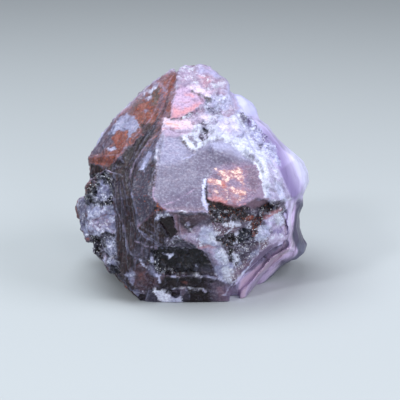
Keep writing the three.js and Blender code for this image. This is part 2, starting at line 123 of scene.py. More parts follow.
def along_line(u, v, line):
    """How far each (u, v) lies beside an open line and how far along it."""
    beside = np.full(len(u), np.inf)
    along = np.zeros(len(u))
    passed = 0.0
    for (start_u, start_v), (end_u, end_v) in zip(line, line[1:]):
        run_u, run_v = end_u - start_u, end_v - start_v
        length = math.hypot(run_u, run_v)
        share = np.clip(((u - start_u) * run_u + (v - start_v) * run_v) / length**2, 0, 1)
        off_u, off_v = u - start_u - share * run_u, v - start_v - share * run_v
        side = np.sign(off_u * run_v - off_v * run_u)
        distance = np.hypot(off_u, off_v)
        closer = distance < np.abs(beside)
        beside = np.where(closer, distance * side, beside)
        along = np.where(closer, passed + share * length, along)
        passed += length
    return beside, along


# ---- Colours ----


def shade(red, green, blue):
    """A colour given as it looks on a screen, from 0 to 255."""
    seen = np.array([red, green, blue]) / 255
    return np.where(seen <= 0.04045, seen / 12.92, ((seen + 0.055) / 1.055) ** 2.4)


FROSTED_LILAC = shade(137, 132, 154)
SMOKY_LILAC = shade(112, 102, 128)
CLOUDED_LILAC = shade(196, 197, 234)
MILK_WHITE = shade(234, 238, 255)
BLUSH_WHITE = shade(236, 218, 240)
LILAC_WHITE = shade(214, 218, 250)
LILAC_GREY = shade(166, 170, 204)
ROSE = shade(204, 176, 208)
ROSE_STAIN = shade(224, 150, 154)
PEACH_STAIN = shade(240, 176, 162)
RUST = shade(138, 86, 78)
RUST_BROWN = shade(126, 88, 88)
PLUM_BROWN = shade(86, 68, 78)
OLIVE_UMBER = shade(94, 82, 76)
UMBER = shade(52, 43, 47)
DUSK = shade(54, 49, 60)
DUSK_ROSE = shade(134, 108, 124)
ASH_LILAC = shade(108, 107, 132)
MAUVE_GREY = shade(96, 87, 106)
SLATE = shade(72, 69, 86)
BLUSH_LILAC = shade(190, 170, 198)
PALE_MAUVE = shade(190, 178, 210)
DARK_GLASS = shade(20, 17, 21)
WARM_BLACK = shade(30, 20, 23)
BLUE_BLACK = shade(22, 22, 27)
TEAL_GREY = shade(60, 62, 74)
RUST_BRIGHT = shade(214, 122, 92)
BROWN_GLASS = shade(38, 29, 33)
# Black painted shade, for hollows, gaps and the undersides of ledges and edges.
PAINTED_SHADE_BLACK = shade(14, 13, 16)
COPPER_LILAC = shade(150, 130, 156)
LAVENDER = shade(216, 208, 246)
PALE_LAVENDER = shade(222, 222, 252)
DEEP_LAVENDER = shade(132, 116, 166)
PLUM_SHADOW = shade(108, 94, 122)
PINK_LAVENDER = shade(210, 192, 228)
LOBE_WHITE = shade(206, 206, 246)
GROOVE_MAUVE = shade(206, 180, 204)
SMOKE = shade(104, 107, 130)
ROOT_GREY = shade(152, 144, 180)

# What the material adds to them, given as light: red, green, blue and 1.
GRAIN_SHADOW = (0.50, 0.46, 0.54, 1)
GRAIN_LIGHT = (0.86, 0.90, 1.0, 1)
CLOUD_SHADOW = (0.55, 0.50, 0.60, 1)
IRON_BLUSH = (0.62, 0.28, 0.24, 1)
LINE_SHADOW = (0.34, 0.29, 0.34, 1)
LINE_LIGHT = (0.40, 0.36, 0.46, 1)
LINE_RUST = (0.34, 0.10, 0.07, 1)
FACET_SHADOW = (0.38, 0.34, 0.40, 1)
CHIP_SHADOW = (0.42, 0.38, 0.44, 1)
FROST_LIGHT = (0.80, 0.83, 1.0, 1)
RUST_FLECK = (0.46, 0.12, 0.05, 1)
COPPER_DULL = (0.60, 0.22, 0.16, 1)
COPPER_BRIGHT = (1.0, 0.66, 0.56, 1)
# The white of painted glints, light glancing off tiny facets.
PAINTED_GLINT = (0.95, 0.97, 1.0, 1)
FLOOR_GREY = (0.52, 0.55, 0.56, 1)
SKY = (0.82, 0.86, 0.95, 1)


# ---- The stone's coat: what grows and shows where ----

# `frost` is white crust, `rust` is iron stain, `gloss` is bare glass, `flake` is copper-bright flakes,
# `chips` is broken facets, `streak` is growth lines, `silk` is smooth purple and `druse` is how thickly small
# crystals stand, from 0 for none to about 1. `lumps` is the relief of a crust in millimetres.
SHOWN = ("frost", "rust", "gloss", "flake", "chips", "streak", "silk", "druse")
FIELDS = SHOWN + ("lumps",)

PLAIN = {}
CRUST = dict(frost=0.6, lumps=0.2, chips=0.5, rust=0.0, gloss=0.25, streak=0.0, druse=0.0, silk=0.0)
SMOOTH_CRUST = dict(CRUST, frost=0.35, lumps=0.12, chips=0.1, gloss=0.2)
THIN_CRUST = dict(frost=0.45, lumps=0.2, chips=0.25, rust=0.1, streak=0.0, druse=0.0)
GRAINY = dict(frost=0.4, lumps=0.3, chips=0.6, rust=0.1, druse=0.5, streak=0.0, gloss=0.2)
BARE_GLASS = dict(gloss=0.95, chips=0.8, frost=0.0, rust=0.1, lumps=0.05, streak=0.0, druse=0.0)
PITTED = dict(gloss=0.6, chips=1.0, frost=0.3, rust=0.3, lumps=0.25, druse=0.6, streak=0.0)
LINED = dict(streak=1.0, gloss=0.45, rust=0.15, frost=0.0, chips=0.1, lumps=0.0, druse=0.0)
STAINED = dict(rust=0.7, streak=0.5, frost=0.0, chips=0.12, gloss=0.15, lumps=0.0)
FACE = dict(frost=0.2, lumps=0.03, gloss=0.3, chips=0.0, streak=0.0, rust=0.0, druse=0.0)
SMOOTH = dict(frost=0.0, lumps=0.02, gloss=0.3, chips=0.0, streak=0.0, rust=0.1, druse=0.0)
SILKY = dict(silk=1.0, gloss=0.35, streak=0.3, frost=0.0, lumps=0.0, rust=0.0, chips=0.0, druse=0.0)

# What lies on the front: the colour, the finish, how soft the edge is, how strongly it covers, and the
# outline. Later patches lie over earlier ones.
PATCHES = [
    # The red flank, upper left.
    (RUST_BROWN, STAINED, 0.3, 1, [(-2.8, 64), (-14, 59), (-24, 48), (-30, 39), (-27.5, 35.6), (-21, 36),
        (-18.5, 39.1), (-10.4, 46.4), (-5.5, 54.2), (-3.8, 60.3)]),
    (MAUVE_GREY, dict(STAINED, rust=0.2), 0.6, 0.95, [(-27, 43), (-21, 47), (-18, 49.5), (-19, 45),
        (-21, 41.6), (-24, 39), (-29, 38)]),
    (OLIVE_UMBER, STAINED, 0.4, 0.9, [(-10.6, 56.4), (-8, 57), (-8, 54.3), (-9.6, 51.2), (-10.8, 52.8)]),
    (OLIVE_UMBER, STAINED, 0.5, 0.7, [(-16.6, 52), (-13.6, 54.4), (-13, 52.6), (-15.2, 50.4)]),
    (DUSK_ROSE, STAINED, 0.4, 0.8, [(-8.2, 56), (-6.2, 54.6), (-8, 49.8), (-9.4, 48.6), (-9.2, 52)]),
    (PALE_MAUVE, STAINED, 0.25, 0.6, [(-8.8, 57.8), (-7.4, 58), (-6.4, 56.2), (-7.2, 54.2), (-7.8, 56)]),
    (UMBER, LINED, 0.3, 0.9, [(-13.6, 47.2), (-10, 47), (-7.4, 51), (-6.2, 54.6), (-5.4, 54), (-8.8, 48.2),
        (-12.8, 44)]),
    (RUST, STAINED, 0.15, 1, [(-6.4, 60), (-4, 60.6), (-4.4, 56.7), (-6, 54.4), (-7.2, 56.7), (-8.6, 57.5),
        (-9.8, 58), (-8.6, 59.8)]),
    (RUST, STAINED, 0.15, 1, [(-14.1, 51.9), (-12.5, 52.7), (-9.6, 49.5), (-9.2, 47.8), (-10.3, 47),
        (-12.9, 48.6), (-13.7, 47), (-14.7, 48.2), (-15.1, 50.7)]),
    (LILAC_WHITE, dict(CRUST, lumps=0.08, streak=0.5), 0.1, 0.95, [(-13.3, 55.1), (-10.4, 56.5), (-8.8, 57.3),
        (-9.2, 56.1), (-11.2, 55.1), (-12.9, 54.3)]),
    (PALE_MAUVE, CRUST, 0.12, 0.8, [(-12.3, 53.5), (-10.9, 54.3), (-10.3, 53.6), (-11.7, 52.5)]),
    (PALE_MAUVE, CRUST, 0.12, 0.7, [(-12.9, 50.2), (-11.7, 51), (-11.7, 49.8)]),
    (LILAC_GREY, dict(CRUST, streak=1.0, lumps=0.05, chips=0.15, frost=0.3), 0.1, 0.9, [(-16.7, 49.9),
        (-15.1, 48.6), (-13.9, 45.8), (-16.1, 43.8), (-17.1, 42.2), (-16.7, 44.6), (-18.9, 45.4),
        (-20.5, 44.6), (-22.2, 43.8), (-21, 46.4), (-19.7, 47.6), (-18.1, 48.8)]),
    (RUST, STAINED, 0.12, 1, [(-19.4, 45.2), (-16.7, 45), (-16.9, 43.4), (-18.5, 40.6), (-20.3, 41.2),
        (-21.2, 43.4)]),
    (LILAC_WHITE, dict(CRUST, lumps=0.08), 0.1, 0.85, [(-22.5, 40.2), (-20.8, 41), (-19.8, 40.7),
        (-20.5, 39.9), (-22, 39.7)]),
    (RUST, dict(STAINED, streak=0.9), 0.2, 1, [(-26.4, 37.9), (-22.6, 39.1), (-18.7, 40.4), (-18.5, 39.8),
        (-20.3, 36.9), (-23.4, 36.1), (-25.6, 36.7)]),
    (BROWN_GLASS, dict(LINED, rust=0.3), 0.3, 1, [(-28, 36.6), (-23.4, 35.9), (-20.6, 36.2), (-20.4, 33.2),
        (-24, 32), (-28, 31.6)]),
    (UMBER, LINED, 0.5, 0.7, [(-27.4, 35.8), (-24.4, 35.6), (-24.8, 32.6), (-27.4, 32.6)]),
    # The dark band of growth lines.
    (DUSK, LINED, 0.2, 1, [(-3.7, 61), (-5.5, 54.2), (-10.4, 46.4), (-18.5, 39.1), (-21, 35.8), (-21.3, 28.1),
        (-19.7, 21.4), (-20.2, 14.7), (-20.2, 8), (-17, 3), (-12.3, 5), (-11, 10.6), (-10.6, 14.2),
        (-7, 14.4), (-6.8, 18.5), (-9.1, 22.6), (-9.5, 26.5), (-10.6, 28.1), (-10.4, 30.3), (-9.6, 33.9),
        (-9.5, 37.5), (-8.9, 41.1), (-8.1, 45.1), (-5.9, 48.7), (-5.1, 53.1), (-4.2, 57)]),
    (DUSK_ROSE, dict(LINED, rust=0.6), 0.3, 0.9, [(-4, 60), (-7.4, 51.6), (-9.8, 46.6), (-7.8, 44.4),
        (-6, 48.6), (-5, 53)]),
    (PLUM_BROWN, dict(LINED, rust=0.7), 0.3, 0.9, [(-9, 46.4), (-7.8, 44.8), (-9.6, 40.6), (-14.4, 36.6),
        (-12, 41.6)]),
    (RUST, STAINED, 0.15, 0.9, [(-6.6, 51.5), (-5, 53.3), (-5.1, 50.7), (-6, 49.7), (-7, 50.7)]),
    (ASH_LILAC, dict(LINED, frost=0.2), 0.4, 0.9, [(-8.8, 44.4), (-9.6, 41), (-9.9, 37.6), (-13.4, 35),
        (-15, 36.8), (-11.4, 41)]),
    (UMBER, LINED, 0.4, 0.9, [(-19.8, 36.8), (-15, 41.6), (-11, 45.4), (-12, 41.8), (-15.4, 37.4), (-17, 35),
        (-17.2, 32), (-20, 32)]),
    (SLATE, dict(FACE, streak=0.2, gloss=0.6, rust=0.4), 0.3, 1, [(-15.4, 33.2), (-11.4, 36), (-10.4, 30),
        (-10.8, 27), (-9.8, 25.2), (-14, 20.8), (-14.8, 25), (-15.8, 29)]),
    (LILAC_GREY, SMOOTH, 0.15, 0.85, [(-14, 34.6), (-12.8, 34.4), (-11.4, 37), (-10.4, 39.8), (-11.4, 39.8),
        (-13, 37.4)]),
    (LILAC_WHITE, SMOOTH, 0.15, 0.8, [(-13.2, 35), (-12.6, 35), (-11.8, 37), (-12.2, 37.4)]),
    (UMBER, dict(LINED, gloss=0.5), 0.4, 0.9, [(-19, 32.8), (-17.2, 32.4), (-15.8, 27), (-15, 21),
        (-17.4, 20), (-17.8, 26)]),
    (UMBER, dict(LINED, gloss=0.5), 0.5, 0.8, [(-20, 22), (-16.4, 21), (-15, 16), (-16, 12), (-14, 8),
        (-15, 4), (-20, 7)]),
    (BROWN_GLASS, dict(LINED, rust=0.15), 0.3, 1, [(-14.2, 19.8), (-9.6, 24.8), (-8.4, 22), (-6.4, 18.5),
        (-7, 14.6), (-10, 16), (-12.6, 17.4)]),
    (SLATE, dict(LINED, streak=0.6), 0.4, 0.8, [(-14.6, 15.4), (-10.6, 14.6), (-11.2, 12), (-13.8, 11.4),
        (-16, 13.4)]),
    (BROWN_GLASS, dict(BARE_GLASS, chips=0.3, rust=0.9), 0.15, 1, [(-9.8, 26.8), (-8, 25.2), (-6.9, 24.2),
        (-8.2, 23.2), (-10, 23.6)]),
    # The knob, druse, rim and wedge down the left side.
    (DARK_GLASS, dict(PITTED, rust=0.1), 0.3, 1, [(-29, 31), (-26.5, 33.4), (-22.6, 34.6), (-20.9, 32),
        (-20.8, 25.8), (-28.6, 25.8)]),
    (LILAC_GREY, GRAINY, 0.4, 0.95, [(-23.8, 31.8), (-22, 31), (-21.2, 28), (-23, 26.4), (-25.4, 27.2),
        (-24.6, 29.6)]),
    (UMBER, STAINED, 0.5, 0.8, [(-28.4, 31), (-26.2, 33), (-24.4, 33), (-26.6, 30), (-28.4, 27.4)]),
    (LILAC_GREY, dict(CRUST, rust=0.35, chips=0.5), 0.2, 1, [(-27.6, 25.8), (-20.8, 25.8), (-20, 22.6),
        (-19.9, 18.9), (-23.6, 18.3), (-27.2, 19.4)]),
    (PALE_MAUVE, dict(GRAINY, rust=0.5), 0.5, 0.6, [(-27, 21.8), (-24, 22.4), (-21, 22), (-22, 19.4),
        (-26.4, 19.8)]),
    (ASH_LILAC, THIN_CRUST, 0.3, 1, [(-31, 28.6), (-28, 28), (-27.4, 20), (-26.4, 17.4), (-30, 17)]),
    (LILAC_GREY, THIN_CRUST, 0.4, 0.7, [(-28.8, 21.8), (-27.4, 21.6), (-27, 18.2), (-28.6, 18.4)]),
    (SLATE, THIN_CRUST, 0.3, 1, [(-24.4, 18.6), (-20.4, 18.2), (-19.4, 12), (-19, 6), (-22.4, 8),
        (-22.6, 14)]),
    (LILAC_GREY, GRAINY, 0.5, 0.8, [(-22.6, 16.9), (-20.6, 17), (-20, 13.4), (-21.4, 12.4)]),
    (LILAC_GREY, CRUST, 0.4, 0.6, [(-22, 12), (-20.6, 11.6), (-19.6, 8.6), (-20.8, 8.2)]),
    (WARM_BLACK, dict(PITTED, frost=0.15), 0.25, 1, [(-26.6, 17.9), (-24, 18), (-22.7, 14.6), (-23.8, 11.6),
        (-27, 13.6)]),
    # Black painted shade in a hollow and in a gap on the left side.
    (PAINTED_SHADE_BLACK, BARE_GLASS, 0.3, 0.9, [(-21.6, 10.4), (-19.6, 10), (-17.8, 5.4), (-20, 3.4), (-22, 6.2)]),
    (PAINTED_SHADE_BLACK, BARE_GLASS, 0.15, 0.9, [(-23.8, 18.9), (-20.2, 18.2), (-20.3, 17.4), (-21.8, 17.7),
        (-24, 18.2)]),
    # The great frosted face.
    (FROSTED_LILAC, FACE, 0.12, 1, [(-8.1, 45.1), (-8.8, 41.1), (-9.4, 37.5), (-9.5, 33.9), (-10.3, 30.3),
        (-10.4, 28.1), (-9.5, 26.5), (-7.7, 24.6), (-5.9, 24.1), (4.2, 24), (3.6, 32), (20, 34), (17, 38),
        (14, 40.5), (8, 43.4), (1.5, 41.6), (-3.6, 44.4)]),
    (CLOUDED_LILAC, FACE, 1.4, 0.4, [(-8.4, 44), (-4.6, 43.6), (-0.6, 39.8), (-3, 37), (-8.8, 36), (-9, 40)]),
    (CLOUDED_LILAC, FACE, 1.2, 0.6, [(1.2, 40.4), (4.4, 42.4), (8, 42.8), (10.6, 41.9), (13.8, 39.3),
        (16.5, 37), (13, 37.6), (10, 39.6), (5, 40.4)]),
    (SMOKY_LILAC, FACE, 0.7, 0.5, [(2.2, 40.2), (6, 40), (9.6, 39), (12, 37.4), (16.6, 36.8), (14, 35.8),
        (6, 35.6), (3, 33), (0, 33.6)]),
    (SMOKY_LILAC, FACE, 1.2, 0.8, [(-8.4, 27.6), (0, 30.4), (2.4, 29), (2.6, 25), (-5, 24.6), (-8, 25.6)]),
    (DUSK_ROSE, PLAIN, 0.5, 0.5, [(-9.6, 27.6), (-7, 25.6), (3.6, 25), (3.8, 23.6), (-6, 23.6),
        (-9.8, 25.8)]),
    # The copper-flecked step.
    (COPPER_LILAC, dict(FACE, rust=0.35, lumps=0.06), 0.7, 1, [(3.4, 32.2), (5.4, 34.8), (9, 36.4),
        (14, 36.6), (17, 36), (18.2, 33), (19.4, 29), (19, 26.8), (17.6, 26.8), (16, 27.6), (14, 26),
        (11.8, 25.2), (8.6, 25.7), (4.1, 27.4)]),
    (PLUM_BROWN, PLAIN, 0.8, 0.4, [(13.6, 35.8), (16.4, 35.4), (17.4, 31), (15.8, 28.6), (14.4, 30.4)]),
    (DUSK_ROSE, dict(chips=0.4, rust=0.5), 0.8, 0.6, [(4, 30.4), (8, 30.8), (12.6, 28), (11.8, 25.2),
        (8.6, 25.7), (4.1, 27.4)]),
    (SLATE, PLAIN, 0.5, 0.35, [(4.6, 34), (8.4, 34.2), (8.8, 32.6), (7, 31), (5.6, 30), (5.4, 32)]),
    (COPPER_LILAC, dict(flake=1.15, rust=0.35, lumps=0.14), 0.2, 1, [(3.4, 32.7), (6, 32.6), (7.7, 32),
        (7.4, 31.2), (4.1, 31.1)]),
    (COPPER_LILAC, dict(flake=0.97, rust=0.4, lumps=0.14), 0.3, 1, [(5.4, 35.4), (7.4, 34.9), (9.6, 35),
        (12.6, 35.4), (13, 33.4), (13.8, 31.2), (13, 30.6), (12, 31.8), (11.6, 32.6), (9.6, 32.4),
        (9.2, 31.2), (7.4, 31.4), (7.6, 32.8), (6.4, 34.2)]),
    (COPPER_LILAC, dict(flake=0.5, rust=0.5, lumps=0.1), 0.6, 1, [(8, 31.6), (10, 30.4), (12, 30.4),
        (14.6, 30), (14.2, 28), (12.8, 26.4), (10, 26.2), (7.4, 27), (5, 28.2), (5, 30)]),
    (COPPER_LILAC, dict(flake=1.1, rust=0.4, lumps=0.14), 0.25, 1, [(9.4, 30.6), (10.8, 30.2), (13, 29.4),
        (13.6, 28.4), (12.6, 28), (10.6, 29)]),
    (ROSE_STAIN, dict(flake=1.0, rust=0.9), 0.3, 0.6, [(7.2, 31.6), (8.2, 31.8), (8.5, 30.6), (7.8, 29.8),
        (7.2, 30.4)]),
    (ROSE_STAIN, dict(flake=0.7, rust=0.7), 0.3, 0.6, [(5, 28), (6.4, 27.8), (8.8, 26.8), (8.6, 26),
        (6, 26.6), (4.6, 27.2)]),
    # A pale chipped edge at the left of the step, partly painted highlight where it catches the light, and
    # beside it a dark slit of painted shadow.
    (LILAC_WHITE, dict(SMOOTH, frost=0.3), 0.12, 0.95, [(3, 32.6), (2.4, 31.1), (2.0, 29.4), (2.2, 27.4),
        (2.8, 25.6), (3.5, 24.2), (4.5, 24.1), (3.9, 25.6), (3.4, 27.2), (3.2, 28.8), (3, 30.1), (3.1, 31.4),
        (3.4, 32.4)]),
    (WARM_BLACK, BARE_GLASS, 0.1, 0.9, [(3.1, 31.7), (3.5, 31.4), (3.7, 29.4), (3.9, 27.6), (3.5, 27.6),
        (3.2, 29.4)]),
    # The white crust over it and down the right edge.
    (MILK_WHITE, CRUST, 0.2, 1, [(-7.8, 46.6), (-3.2, 45.6), (-3.4, 43.8), (-2, 42.2), (-0.5, 40.1),
        (1.2, 40.1), (3, 41.6), (5.2, 42.9), (7.6, 42.8), (9.6, 41.4), (12.2, 39.4), (16, 37), (17, 34.6),
        (18, 31), (19, 27.4), (22.7, 26.6), (25.4, 27.4), (22.6, 33), (19.8, 38.4), (16, 42.2), (14, 45.4),
        (13.1, 47.3), (11.6, 49.8), (8, 49.8), (3.9, 48.6), (1.3, 47.8), (-6.6, 48.6)]),
    (LILAC_WHITE, dict(SMOOTH, frost=0.2, lumps=0.08), 0.5, 1, [(6, 48.8), (11, 49.4), (13.4, 45.6),
        (15.4, 42.6), (13.2, 41), (8.8, 43.6), (5.6, 44)]),
    (BLUSH_WHITE, PLAIN, 1, 0.5, [(6.4, 47.6), (10.4, 48), (12.6, 44.4), (10, 44.2), (6.8, 45.2)]),
    (BLUSH_WHITE, dict(SMOOTH, frost=0.15, lumps=0.1), 0.4, 1, [(-7.8, 48.4), (-1, 48.4), (4.4, 50),
        (4, 48.2), (0.5, 46.6), (-0.6, 44.6), (-3.2, 44.6), (-8, 45.2)]),
    (PEACH_STAIN, dict(rust=0.3), 0.6, 0.3, [(-7.4, 47.4), (-4, 47.6), (-0.6, 47.8), (0.2, 46.4), (-1, 45.6),
        (-6, 46.2)]),
    (BLUSH_LILAC, SMOOTH, 0.5, 0.9, [(-7.8, 45.4), (-1, 45.6), (-1, 44.2), (-3.4, 43.6), (-8, 44)]),
    (LILAC_WHITE, SMOOTH_CRUST, 0.4, 0.9, [(12.6, 45.4), (16, 42), (20, 38), (21.6, 34.6), (20.6, 33.4),
        (18, 36.6), (14, 41), (12, 43)]),
    (LILAC_WHITE, SMOOTH_CRUST, 0.4, 1, [(16, 38), (19.4, 38), (24.8, 28), (22.4, 26.8), (19.2, 27),
        (17.6, 33)]),
    # The V-shaped white chip, partly painted highlight on its edges, with a dark line of painted shadow
    # beside it.
    (FROSTED_LILAC, FACE, 0.1, 0.95, [(-2.2, 44), (-0.4, 43.8), (1.2, 41.8), (0.7, 41), (-1, 43)]),
    (OLIVE_UMBER, PLAIN, 0.1, 0.95, [(-3, 42.8), (-2.4, 42.7), (-1.5, 41.2), (-1.9, 40.9)]),
    (MILK_WHITE, SMOOTH, 0.1, 1, [(-3.4, 44.1), (-2.5, 44.1), (-0.8, 42.4), (0.6, 40.8), (-0.4, 40.2),
        (-1.4, 41.3)]),
    (PALE_MAUVE, THIN_CRUST, 0.3, 0.6, [(1, 47.8), (4.6, 48.3), (5.6, 46.8), (4.6, 42.8), (1.4, 42.4),
        (0.8, 45)]),
    (PLUM_SHADOW, dict(PITTED, chips=0.5), 0.15, 0.9, [(1.2, 47.2), (2.6, 47.7), (4.4, 47.2), (4.6, 46.6),
        (3.2, 46.3), (2.6, 46.8), (1.6, 46.6)]),
    # A black crescent of painted shade inside a hole among the pits.
    (DARK_GLASS, BARE_GLASS, 0.12, 0.95, [(2.6, 45.5), (3.8, 45.3), (4.3, 44.4), (3.8, 43.4), (3.1, 43.4),
        (3.4, 44.2), (3.3, 44.8), (2.6, 45)]),
    (PLUM_SHADOW, PITTED, 0.15, 0.8, [(1.3, 43.9), (2.2, 44.2), (2.9, 43), (2.2, 42.4), (1.5, 43)]),
    (PALE_MAUVE, GRAINY, 0.2, 0.7, [(5, 48.6), (6.4, 48.8), (6, 47.4), (5, 46.8), (4.8, 47.6)]),
    (MILK_WHITE, CRUST, 0.2, 0.9, [(1.2, 46.2), (2.4, 46.4), (2.6, 44.6), (1.2, 44.4)]),
    (PALE_MAUVE, dict(SMOOTH_CRUST, streak=0.5), 0.5, 0.6, [(18.8, 31.4), (19.4, 36.4), (20.6, 36.2),
        (22.8, 32.4), (25.4, 27.6), (22.8, 26.8), (20.2, 27.4)]),
    (DEEP_LAVENDER, SMOOTH, 0.5, 0.5, [(21.8, 34), (23, 32), (25.4, 28), (24.4, 27.6), (22.6, 31)]),
    (MILK_WHITE, SMOOTH_CRUST, 0.25, 0.95, [(15, 38.6), (17.4, 37.4), (19.4, 36.6), (19.8, 32.4), (20, 28.4),
        (18.8, 27.6), (18, 31), (17, 34.6)]),
    (LILAC_WHITE, dict(CRUST, chips=0.3), 0.2, 0.9, [(20.8, 32), (21.8, 32.2), (23.2, 30), (24.2, 27.4),
        (22.8, 27.2), (21.6, 29.6)]),
    (LILAC_GREY, THIN_CRUST, 0.3, 0.7, [(18.6, 30.6), (19.6, 31), (20.6, 28.2), (19.4, 27.6)]),
    # The pink step and the summit.
    (BLUSH_LILAC, dict(THIN_CRUST, chips=0.4, rust=0.15), 0.3, 1, [(-4.4, 62.4), (4, 63), (9, 60), (12, 51),
        (10, 48.6), (4, 49.6), (0, 48.4), (-6.2, 47.9), (-5.2, 53.1), (-4.2, 57)]),
    (MILK_WHITE, dict(CRUST, lumps=0.1), 0.2, 1, [(-3.8, 61.4), (-2, 63), (0.2, 63), (0.2, 61.4),
        (-0.6, 60.6), (-2.6, 60.9)]),
    (CLOUDED_LILAC, SMOOTH, 0.5, 0.95, [(1, 63), (5.4, 62), (8, 59.4), (7, 58.4), (4.6, 59.6), (1.4, 60.2)]),
    (DUSK_ROSE, SMOOTH, 0.3, 0.6, [(0.1, 62.4), (1.6, 62.6), (1.2, 60.4), (0.1, 60.2)]),
    (DUSK_ROSE, THIN_CRUST, 0.4, 0.6, [(6, 58.8), (8, 59), (8.4, 57.4), (6.6, 57.4)]),
    (CLOUDED_LILAC, SMOOTH, 0.6, 0.9, [(8, 59), (9.2, 57.6), (10, 55), (11, 51), (9.4, 52), (8.4, 55.6)]),
    (MILK_WHITE, CRUST, 0.3, 0.8, [(5, 57.4), (7.2, 57.2), (7.4, 56.4), (5.4, 56)]),
    (ROSE_STAIN, THIN_CRUST, 0.4, 0.4, [(1.6, 59.4), (4.6, 59.6), (4.6, 57), (3, 56.6), (2, 58)]),
    (MAUVE_GREY, THIN_CRUST, 0.3, 0.5, [(0, 59), (0.8, 59), (1.4, 57.4), (0.4, 57.2)]),
    (BLUSH_WHITE, SMOOTH, 0.12, 0.95, [(-1.8, 56.6), (-0.6, 57.1), (1.6, 56.8), (4, 55.4), (5.6, 53.7),
        (4.6, 53.6), (0, 55.5)]),
    (LILAC_WHITE, dict(GRAINY, chips=0.25, rust=0.2), 0.4, 0.8, [(3.2, 53.8), (5.6, 54.6), (9.2, 54.2),
        (9.6, 50.8), (6, 49.4), (3.4, 49.4), (2.8, 51)]),
    (SLATE, dict(PITTED, druse=0.0, chips=0.5), 0.12, 0.85, [(3.2, 53.6), (4.4, 53.5), (5.4, 52.9), (5, 52.4),
        (4.2, 52.2), (3.4, 52.5)]),
    (MAUVE_GREY, dict(GRAINY, chips=0.4), 0.2, 0.6, [(3.4, 51.2), (4.6, 51.3), (5.4, 50.4), (7.4, 50.1),
        (7.6, 49.4), (5.4, 49.2), (3.6, 49.9)]),
    (ASH_LILAC, THIN_CRUST, 0.25, 0.6, [(5.8, 52.2), (7.2, 52.4), (7, 51.4), (6, 51.2)]),
    (LILAC_WHITE, CRUST, 0.3, 0.7, [(5.6, 53.4), (8, 53.6), (8.2, 52.6), (6, 52.6)]),
    (ROSE, SMOOTH, 0.12, 1, [(-5.3, 53.1), (-4.1, 56.2), (-2, 56.3), (0, 55.4), (1.6, 54.6), (3.3, 53.4),
        (3.2, 52.6), (1.6, 51.6), (0, 50.2), (-2, 49.1), (-5.9, 48.2)]),
    (ROSE_STAIN, PLAIN, 0.4, 0.6, [(-2.4, 54.8), (-0.6, 54.7), (0.8, 54), (0.2, 53.4), (-1.4, 53.7)]),
    (ROSE_STAIN, dict(rust=0.3), 0.5, 0.7, [(-5.4, 51.4), (-2.6, 50.6), (0.6, 52.4), (2.2, 52.6), (0.2, 50.3),
        (-2, 49.1), (-5.9, 48.4)]),
    (PLUM_BROWN, dict(THIN_CRUST, rust=0.4), 0.12, 0.8, [(-6, 48.2), (-3.2, 48.5), (-1.6, 49.2), (-0.4, 50),
        (0.2, 49.8), (-1.4, 48.6), (-3.2, 47.9), (-6, 47.8)]),
    # The strip of small crystals between the white edge and the purple flank.
    (CLOUDED_LILAC, GRAINY, 0.4, 1, [(11.4, 50), (14, 49), (17.8, 45.6), (21.2, 40.4), (22.8, 36),
        (21.6, 36.4), (19.8, 38.4), (15.2, 42.8), (13.2, 47.4)]),
    (MAUVE_GREY, PITTED, 0.3, 0.8, [(12, 49.6), (13.6, 49.2), (14, 47.6), (12.8, 47.6)]),
    (DEEP_LAVENDER, PITTED, 0.2, 0.9, [(14.1, 48.6), (14.9, 48.4), (15, 46), (14.4, 46)]),
    (DEEP_LAVENDER, PITTED, 0.25, 0.9, [(15.8, 46.4), (16.8, 45.6), (16.4, 44.8), (15.8, 45.2)]),
    (DEEP_LAVENDER, PLAIN, 0.3, 0.9, [(17.2, 45), (18.8, 44.6), (19.8, 42), (18.6, 41.8), (17.4, 43.4)]),
    (PLUM_SHADOW, PITTED, 0.25, 0.8, [(16.8, 41.6), (17.8, 41.2), (17.8, 40), (17, 40.2)]),
    (MILK_WHITE, CRUST, 0.15, 0.9, [(15, 45.8), (15.8, 45.9), (15.8, 44.9), (15.1, 45)]),
    # Under the tip.
    (MAUVE_GREY, dict(THIN_CRUST, gloss=0.3, rust=0.25), 0.15, 1, [(-9.6, 24.6), (-7.7, 24.2), (-5.9, 23.9),
        (4, 23.8), (3.9, 27), (8, 25.9), (12, 25.3), (16.5, 27.3), (24, 26.6), (23, 20), (20, 14), (12, 7),
        (9.6, 3), (9.4, -8), (-13, -8), (-14.4, 1.7), (-11.3, 8), (-10.6, 14.2), (-7, 14.4), (-6.6, 18.5),
        (-9.1, 22.6)]),
    (WARM_BLACK, dict(BARE_GLASS, chips=0.25, rust=0.3), 0.6, 0.8, [(-3.8, 23.8), (4, 23.8), (4.4, 21.2),
        (1.4, 20.6), (-0.6, 19), (-2.4, 19.6), (-3.6, 21.6)]),
    (MAUVE_GREY, SMOOTH, 0.7, 0.8, [(-0.6, 23.2), (3.8, 23.4), (4.2, 21.2), (1, 20.2)]),
    (LILAC_WHITE, GRAINY, 0.1, 1, [(-1.9, 21), (-1, 21.5), (-0.6, 20.7), (-1.2, 20.3)]),
    (DUSK_ROSE, SMOOTH, 0.5, 0.9, [(-5.6, 24.2), (-3.8, 23.8), (-3.4, 20.6), (-1.4, 18.8), (1.4, 17.6),
        (1.4, 15.2), (-0.8, 15.9), (-2.8, 16.8), (-4.2, 18.4), (-4.8, 20)]),
    (PALE_MAUVE, THIN_CRUST, 1, 0.85, [(-3, 18), (-0.6, 18.8), (1.6, 18.6), (2.2, 15.6), (0, 16),
        (-1.6, 16.8)]),
    (PALE_MAUVE, SMOOTH, 0.8, 0.6, [(0.6, 20), (3.6, 20.6), (5, 20), (5.2, 18.6), (2, 18.2), (0.2, 19)]),
